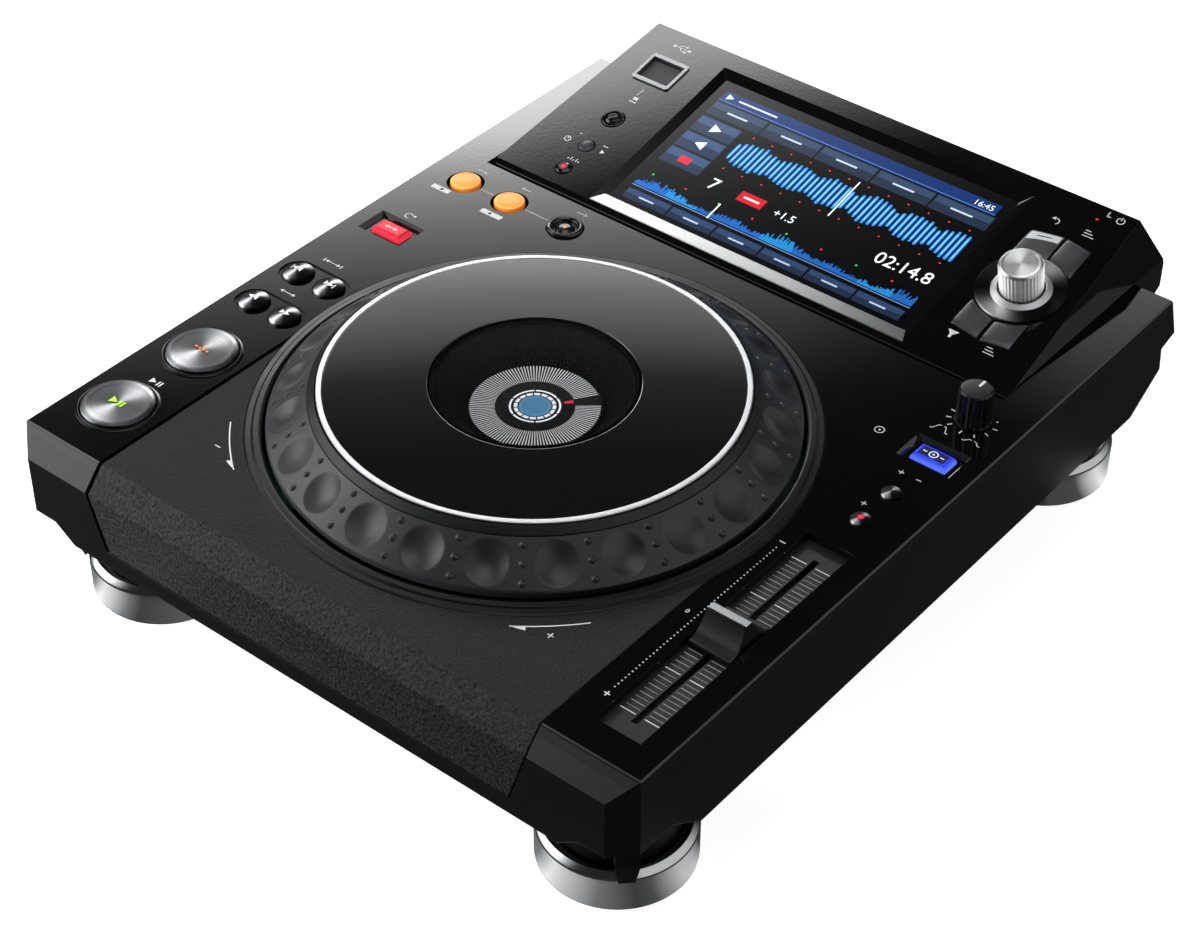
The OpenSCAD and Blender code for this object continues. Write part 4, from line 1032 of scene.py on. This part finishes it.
def buildKey(name, corners):
    # the crowned face over a flat underside, closed by four walls
    n = 17
    edge = 0.5 - 0.5 * np.cos(np.linspace(0, math.pi, n))
    top = keySurface(corners, edge[:, None], edge[None, :])
    under = top.copy()
    under[..., 2] = keyShape["foot"]
    walls = [np.stack([top[s], under[s]]) for s in (
        np.s_[0, :], np.s_[-1, :], np.s_[:, 0], np.s_[:, -1])]
    points = np.vstack([g.reshape(-1, 3) for g in [top, under] + walls])
    quads = np.vstack([gridFaces(n, n, 2), gridFaces(2, n, 4) + 2 * n * n])
    mesh = closedMesh(name + "Key", panelPoints(points), quads)
    finishObject(mesh, "grey", name, [name + "_button"])


def buildPanelControls():
    turned("stopCap", panelSpots["stop"], "dome", "usb_stop", ["usb_stop_button"], [
        (0, 1.3), (2.4, 1.1), (3.6, 0.3), (3.65, -1.2), (4.4, -1.2), (4.4, 0.2), (4.7, 0.5),
        (5.2, 0.3), (5.2, -3.7), (0, panelFoot)], 0.3, 56, panelPoints)
    for key, finish, body in (("time", "timeGrey", "time_mode"), ("quantize", "dome", "quantize")):
        turned(key + "Cap", panelSpots[key], finish, body, [key + "_button"],
               domeLine(*domes["panel"], panelFoot), None, 48, panelPoints)
    for name, corners in keys.items():
        buildKey(name, corners)
    turned("selectorDisc", selector, "spunDark", "case", ["selector_ring"], [
        (13.0, 0.01), (19.2, 0.01), (19.2, 0.7), (18.9, 1), (13.0, 1), (13.0, 0.01)],
        [0.1, 0.2, 0.2, 0.1], 128, panelPoints)
    turned("selectorFlange", selector, "ring", "case", (), [
        (9.9, -3), (9.9, 1.9), (10.4, 2.1), (12.7, 1.0), (12.95, 0.7), (12.95, 0.5), (11.1, 0.3),
        (11.1, -3), (9.9, -3)], [0.2, 0.3, 0.2, 0.1, 0.1, 0.1, 0.1], 128, panelPoints)
    rim = roundLine([(7.2, 15.25), (7.9, 15.5), (8.5, 15.5), (9.2, 14.7), (9.2, 1.2), (3.05, 1.2),
                     (3.05, 9), (0, 9)], [0.2, 0.3, 0.5, 0.3, 0.1, 0.1])
    line = np.vstack([np.c_[np.linspace(0, 7, 10), np.full(10, 15.25)], rim])
    turned("selectorKnob", selector, "knurled", "selector_turn", ["selector_knob"], line, None,
           288, panelPoints, knurl(36, 0.5, 2, 14.4, 8.6))
    # a light strip and a dark slot laid on the back key's outer part, following its crown
    sheet = Sheet()
    edges = [0.05, 0.08, 0.12, 0.17, 0.24, 0.34]
    strips = [(0.04, 0.96, *pair, "#c8cacc", 0.04) for pair in zip(edges[:-1], edges[1:])]
    for u0, u1, v0, v1, tone, gap in strips + [(0.28, 0.72, 0.18, 0.22, "#2c2d2f", 0.07)]:
        us = np.linspace(u0, u1, 9)
        for a, b in zip(us[:-1], us[1:]):
            cell = keySurface(keys["back"], np.array([a, b, b, a]), np.array([v0, v0, v1, v1]))
            sheet.shape(cell[:, :2], tone, lambda q, cell=cell, gap=gap: cell[:, 2] + gap)
    sheet.build("backStrip", "ink", "back", panelPoints)


buildPanelControls()
print("panel controls built")


# screen

screen = {"x": 77.4, "low": 7.6, "high": 94.4, "face": -1.98}


def buildScreen():
    # a made-up player page: header, striped waveform, figures, overview and keys
    rng = np.random.default_rng(7)
    w, t0, t1 = screen["x"], screen["low"], screen["high"]
    back, mid, front, top = (screen["face"] + 0.02 * k for k in range(4))
    left, right, low, high = -w + 4.5, w - 4.5, t0 + 3, t1 - 5.5
    sheet = Sheet(lift=top)

    def tile(x0, y0, x1, y1, split, inset, dark, light):
        # a key whose upper part, from `split`, is lighter
        sheet.box(x0, y0, x1, y1, dark, mid)
        sheet.box(x0 + inset, split, x1 - inset, y1 - inset, light, front)

    sheet.box(-w, t0, w, t1, "#020203", back)

    # header: a deep blue bar with a lighter edge, tabs under it
    sheet.box(left, high - 6.4, right, high, "#0f2a5c", mid)
    sheet.box(left, high - 6.4, right, high - 5.9, "#3f6db5", front)
    sheet.arrow((left + 6, high - 3), 3.4, 0, "#dce4f2")
    sheet.box(left + 9, high - 3.6, left + 30, high - 2.6, "#b9c6de")
    sheet.words("16:45", (right - 2, high - 4.8), 4.6, "#dce4f2", align="RIGHT")
    for k in range(5):
        x = left + k * 29.6
        tile(x, high - 16.4, x + 28.8, high - 7.4, high - 11.6, 0.5, "#1b2738", "#2b3c55")
        sheet.box(x + 9, high - 12.4, x + 20, high - 11.4, "#aab7c9")

    # key column on the left
    x0, x1 = left + 25, right
    for k in range(3):
        y = high - 28.5 - k * 11.4
        tile(left, y, left + 22, y + 10.4, y + 5.3, 0.5, "#1c2a40", "#2f4566")
        if k < 2:
            sheet.arrow((left + 14 - 6 * k, y + 5.2), 5, 180 * k, "#dfe6f0")
        else:
            sheet.box(left + 8, y + 3.2, left + 14, y + 7.2, "#c22436")

    # striped waveform: each stripe's height is a slow swell times a beat and a little noise
    n = 46
    xs = np.linspace(x0 + 1.4, x1 - 1.4, n)
    beat = 0.62 + 0.38 * np.abs(np.sin(np.arange(n) * math.pi / 8.0))
    tall = 9.0 * beat * (0.82 + 0.18 * rng.random(n))
    cy = high - 30.5
    for x, v, e in zip(xs, tall, rng.random((n, 2))):
        sheet.box(x - 0.95, cy - v * (0.75 + 0.2 * e[0]), x + 0.95, cy + v * (0.75 + 0.2 * e[1]),
                  "#0f4f9e", mid)
        sheet.bar(x, cy, 0.55, v, "#2f8ae0", front)
        sheet.bar(x, cy, 0.2, v * 0.8, "#8cc8ff")
    sheet.bar((x0 + x1) / 2, cy, 0.3, 12, "#f2f5fa", top + 0.01)
    for k in range(12):
        for s in (-1, 1):
            sheet.bar(x0 + 4 + k * (x1 - x0 - 8) / 11, cy + s * 11.2, 0.35, 0.35, "#d8442a")

    # figures
    fy = cy - 24.5
    sheet.words("02:14.8", (x1 - 1, fy), 9.6, "#f2f5fa", align="RIGHT")
    sheet.words("7", (x0 + 4, fy), 9.6, "#f2f5fa")
    sheet.box(x0 + 20, fy + 0.4, x0 + 33, fy + 6.4, "#b01a26", mid)
    sheet.box(x0 + 22.5, fy + 2.8, x0 + 30.5, fy + 4.0, "#f0c0c4", front)
    sheet.words("+1.5", (x0 + 39, fy + 0.5), 6.2, "#dfe6f0")

    # overview strip: short bars in three blues, which change every 29 bars, and cue ticks
    n = 250
    xs = np.linspace(left + 0.5, right - 0.5, n)
    shape = 0.35 + 0.65 * np.abs(np.sin(np.arange(n) / 17.0) * np.cos(np.arange(n) / 41.0))
    tall = 7.4 * np.clip(shape * (0.4 + 0.6 * rng.random(n)), 0.05, 1)
    for i, (x, v) in enumerate(zip(xs, tall)):
        blue = ("#1d62b8", "#2484c9", "#1f5fae")[(i // 29) % 3]
        sheet.box(x - 0.22, low + 9.4, x + 0.22, low + 9.4 + v, blue, mid)
        if i % 31 == 7:
            sheet.bar(x, low + 17.7, 0.5, 0.5, ("#c22436", "#2fa84f")[i % 2])
    sheet.box(left, low + 8.3, right, low + 8.8, "#5f7ba6", front)
    sheet.box(left + 41, low + 8.0, left + 41.7, low + 18.0, "#ffffff")

    # pads along the bottom
    wide = (right - left) / 6
    for k in range(6):
        x = left + k * wide
        tile(x + 0.4, low, x + wide - 0.4, low + 6.4, low + 3.2, 0.4, "#18253a", "#263a59")
        sheet.box(x + 8, low + 2.6, x + 16, low + 3.5, "#9fb0c8")
    sheet.build("screenPicture", "picture", "case", panelPoints, ["touch_glass"])


buildScreen()
print("screen drawn")


# printed marks

printed = 0.06  # height of the ink over the deck and the panel


def buildDeckMarks():
    ink = Sheet("#dcddde", printed)
    c = jog["centre"]
    # direction arcs round the wheel, each with a slim barb at its front end
    for a0, a1 in ((220.3, 234.6), (319.8, 305.7)):
        heel = a0 + (a1 - a0) * 0.8
        ink.stroke(onRing(c, 118.5, np.linspace(a0, a1, 20)), 0.5)
        ink.shape([onRing(c, 118.5, a1), onRing(c, 118.5, heel), onRing(c, 120.6, heel)])
    ink.box(-84.9, 35.3, -82.1, 35.8)
    ink.box(82.3, 35.1, 85.1, 35.6)
    ink.box(83.45, 33.95, 83.95, 36.75)
    # pitch scale
    x = 117.5
    for y in np.linspace(29.7, 124.4, 49):
        ink.disc((x, y), 0.32, steps=8)
    ink.box(x - 1.3, 128.1, x + 1.3, 128.6)
    ink.box(x - 1.3, 25.15, x + 1.3, 25.65)
    ink.box(x - 0.25, 24.1, x + 0.25, 26.7)
    ink.words("0", (x - 4.2, 75.4), 3.0, align="CENTER")
    # white tabs in front of the loop buttons, and the lines that join them
    for x0, x1, y in ((-141.4, -131.6, 222.2), (-112.2, -100.8, 221.2)):
        ink.pill(x0, y, x1, y + 3, 0.7)
    for x, y, turn in ((-134.6, 223.7, 0), (-108.6, 222.7, 180)):
        ink.arrow((x, y), 1.9, turn, "#202122", printed + 0.03)
    ink.box(-122.4, 234.3, -115.6, 234.6)
    ink.box(-97.4, 234.5, -84.4, 234.8)
    for x, y, way in ((-131.1, 245.6, 1), (-106.6, 246.6, -1), (-76.2, 247.6, 1)):
        ink.bar(x, y, 2.6, 0.2)
        ink.arrow((x + 3.0 * way, y), 1.6, 90 - 90 * way)
    # plain symbols beside the transport keys
    ink.arrow((-131.0, 48.4), 3.0, 0)
    for x in (-130.2, -128.8):
        ink.box(x, 46.9, x + 0.7, 49.9)
    for x, y, barred in ((-133.4, 125.2, False), (-133.6, 152.5, True)):
        ink.bar(x, y, 3.4, 0.2)
        for s in (-1, 1):
            ink.arrow((x + s * 4.2, y), 1.8, 90 - 90 * s)
        if barred:
            for s in (-1, 1):
                ink.bar(x + s * 4.75, y, 0.25, 1.1)
    ink.arc((-133.1, 199.3), 1.5, 1.95, 30, 300)
    ink.arrow((-131.4, 200.8), 1.6, 150)
    # symbols by the right-hand keys
    ink.arc((107.4, 206.2), 1.7, 2.15, 0, 360)
    ink.disc((107.4, 206.2), 0.5, steps=12)
    for x, y, plus in ((128.6, 190.0, True), (136.4, 190.0, False), (128.0, 165.8, True)):
        ink.bar(x, y, 1.2, 0.22)
        if plus:
            ink.bar(x, y, 0.22, 1.2)
    # ticks round the front of the speed knob, with a dot at each end
    for a in (176, 204, 232, 270, 305, 335, 4):
        r0, r1 = (7.9, 10.2) if a == 270 else (8.6, 10.6)
        ink.arc(spots["speed"], r0, r1, a - 1.6, a + 1.6, steps=2)
    for a in (150, 34):
        ink.disc(onRing(spots["speed"], 9.4, a), 0.4, steps=10)
    for x, y, tall in ((123.0, 222.0, 3.4), (127.6, 222.0, -3.4), (137.0, 222.4, 1.8),
                       (141.6, 222.4, -1.8)):
        ink.legs([(x - 1.8, y - tall / 2), (x - 0.7, y - tall / 2), (x + 0.7, y + tall / 2),
                  (x + 1.8, y + tall / 2)], 0.38)
    ink.build("deckMarks", "ink", "case")


def buildFaderMarks():
    # cross lines on the fader's plate, both sides of the slot
    ink = Sheet(lift=inkOn["faderPlate"])
    x = spots["fader"][0]
    for k, y in enumerate(np.linspace(26.2, 127.0, 41)):
        major = k % 10 == 0
        wide, far = (0.42, 8.8) if major else (0.3, 8.2)
        tone = "#e2e3e4" if major else ("#a9abad", "#8a8c8f")[k % 2]
        for s in (-1, 1):
            a, b = sorted((x + s * 2.0, x + s * far))
            ink.box(a, y - wide / 2, b, y + wide / 2, tone)
    ink.build("faderMarks", "ink", "case")


def buildPanelMarks():
    ink = Sheet("#d6d7d9", printed)
    # port symbol: a stem with a ball, a square and an arrow
    x, y = -106.3, 100.0
    ink.box(x - 4.2, y - 0.16, x + 3.4, y + 0.16)
    ink.disc((x - 4.4, y), 0.85, steps=14)
    ink.arrow((x + 5.0, y), 1.8, 0)
    ink.legs([(x - 2.4, y), (x - 0.6, y + 1.8), (x + 1.0, y + 1.8)], 0.32)
    ink.legs([(x - 1.4, y), (x + 0.2, y - 1.7), (x + 1.6, y - 1.7)], 0.32)
    ink.disc((x + 1.4, y + 1.8), 0.6, steps=12)
    ink.box(x + 1.5, y - 2.2, x + 2.6, y - 1.2)
    # small marks over the three left keys
    ink.stroke([(-105.2, 64.2), (-104.6, 68.6)], 0.35)
    ink.box(-106.0, 59.4, -102.4, 60.0)
    ink.box(-105.4, 61.2, -103.0, 63.0)
    ink.disc((-111.2, 31.4), 0.4, steps=10)
    ink.box(-97.4, 29.8, -94.8, 30.2)
    ink.arc((-114.6, 25.8), 1.3, 1.65, 0, 360)
    ink.box(-114.8, 25.8, -114.4, 27.2)
    ink.arrow((-94.0, 26.4), 2.2, 0)
    for k in range(5):
        ink.box(-106.4 + k * 1.4, 15.4, -106.0 + k * 1.4, 17.4 if k % 2 else 16.4)
    # marks round the selector
    ink.arc((97.4, 91.0), 1.5, 1.9, -60, 150)
    ink.arrow((95.2, 92.0), 1.7, 200)
    for k in range(3):
        ink.box(111.0, 89.6 + k * 1.6, 116.4 - k * 1.4, 90.0 + k * 1.6)
        ink.box(112.4, 12.6 + k * 1.6, 117.6 - k * 1.2, 13.0 + k * 1.6)
    ink.shape([(93.8, 16.6), (99.0, 16.6), (97.0, 14.2), (97.0, 12.4), (95.8, 12.4), (95.8, 14.2)])
    # standby mark and its lamp
    x, y = panelSpots["power"]
    ink.arc((x, y), 1.5, 1.9, 115, 425)
    ink.box(x - 0.2, y + 0.3, x + 0.2, y + 2.3)
    ink.box(x - 6.6, y - 0.4, x - 6.2, y + 2.6)
    ink.box(x - 6.2, y - 0.4, x - 4.6, y)
    ink.disc(panelSpots["sleep"], 0.7, "#c22436", steps=16)
    ink.build("panelMarks", "ink", "case", panelPoints)


# lamps set in three keys: place, placing function, height, inner and outer disc, body, slot
keyLamps = {
    "master": (spots["master"], deckPoints, 1.43, (1.5, "#8e1526"), (1.0, "#f04058"),
               "master_tempo", "lit_red"),
    "reloop": (spots["reloop"], deckPoints, 0.92, (1.5, "#6e4a2a"), (0.9, "#c08a58"),
               "reloop", "lit_orange"),
    "quantize": (panelSpots["quantize"], panelPoints, 1.13, (2.0, "#5e1220"), (1.1, "#b02a3e"),
                 "quantize", "lit_red"),
}


def buildLights():
    for key, (at, place, face, dim, bright, body, slot) in keyLamps.items():
        sheet = Sheet()
        sheet.disc(at, *dim, face, steps=20)
        sheet.disc(at, *bright, face + 0.03, steps=20)
        sheet.build(key + "Lamp", "picture", body, place)
    # lit figures on the two big caps
    ink = Sheet("#9ae23a", inkOn["bigCap"])
    x, y = spots["play"]
    ink.arrow((x - 0.2, y), 3.4, 0)
    for k in (0.7, 2.3):
        ink.box(x + k, y - 1.6, x + k + 0.9, y + 1.6)
    ink.build("playMark", "picture", "play")
    ink = Sheet("#f08c2e", inkOn["bigCap"])
    x, y = spots["cue"]
    for k in range(4):
        ink.bar(x - 3.0 + k * 2, y, 0.6, 0.35)
    for s in (1, -1):
        ink.bar(x, y + s * 1.65, 0.25, 0.75)
    ink.build("cueMark", "picture", "cue")


buildDeckMarks()
buildFaderMarks()
buildPanelMarks()
buildLights()
print("marks printed")


# what stays as CAD

finishes = {
    "black_satin": "satin", "black_gloss": "gloss", "black_grain": "grain",
    "silver_metal": "anodised", "spun_metal": "steel", "trim_metal": "steel",
    "rubber_black": "rubber", "foot_rubber": "padRubber", "screen_glass": "gloss",
    "clear_window": "lens", "button_dark": "dome", "button_grey": "grey",
    "flap_grey": "flap", "board_green": "board", "board_tan": "boardTan",
    "steel_plain": "steel", "bronze": "bronze", "inside_black": "inside",
}


def dressRest():
    # CAD nodes that keep their own shape take a finish by their slot
    for name, obj in frame["nodes"].items():
        finish = look[finishes.get(slotOf(name), "dome")]
        if not obj.material_slots:
            obj.data.materials.append(finish)
        for entry in obj.material_slots:
            entry.material = finish


dressRest()
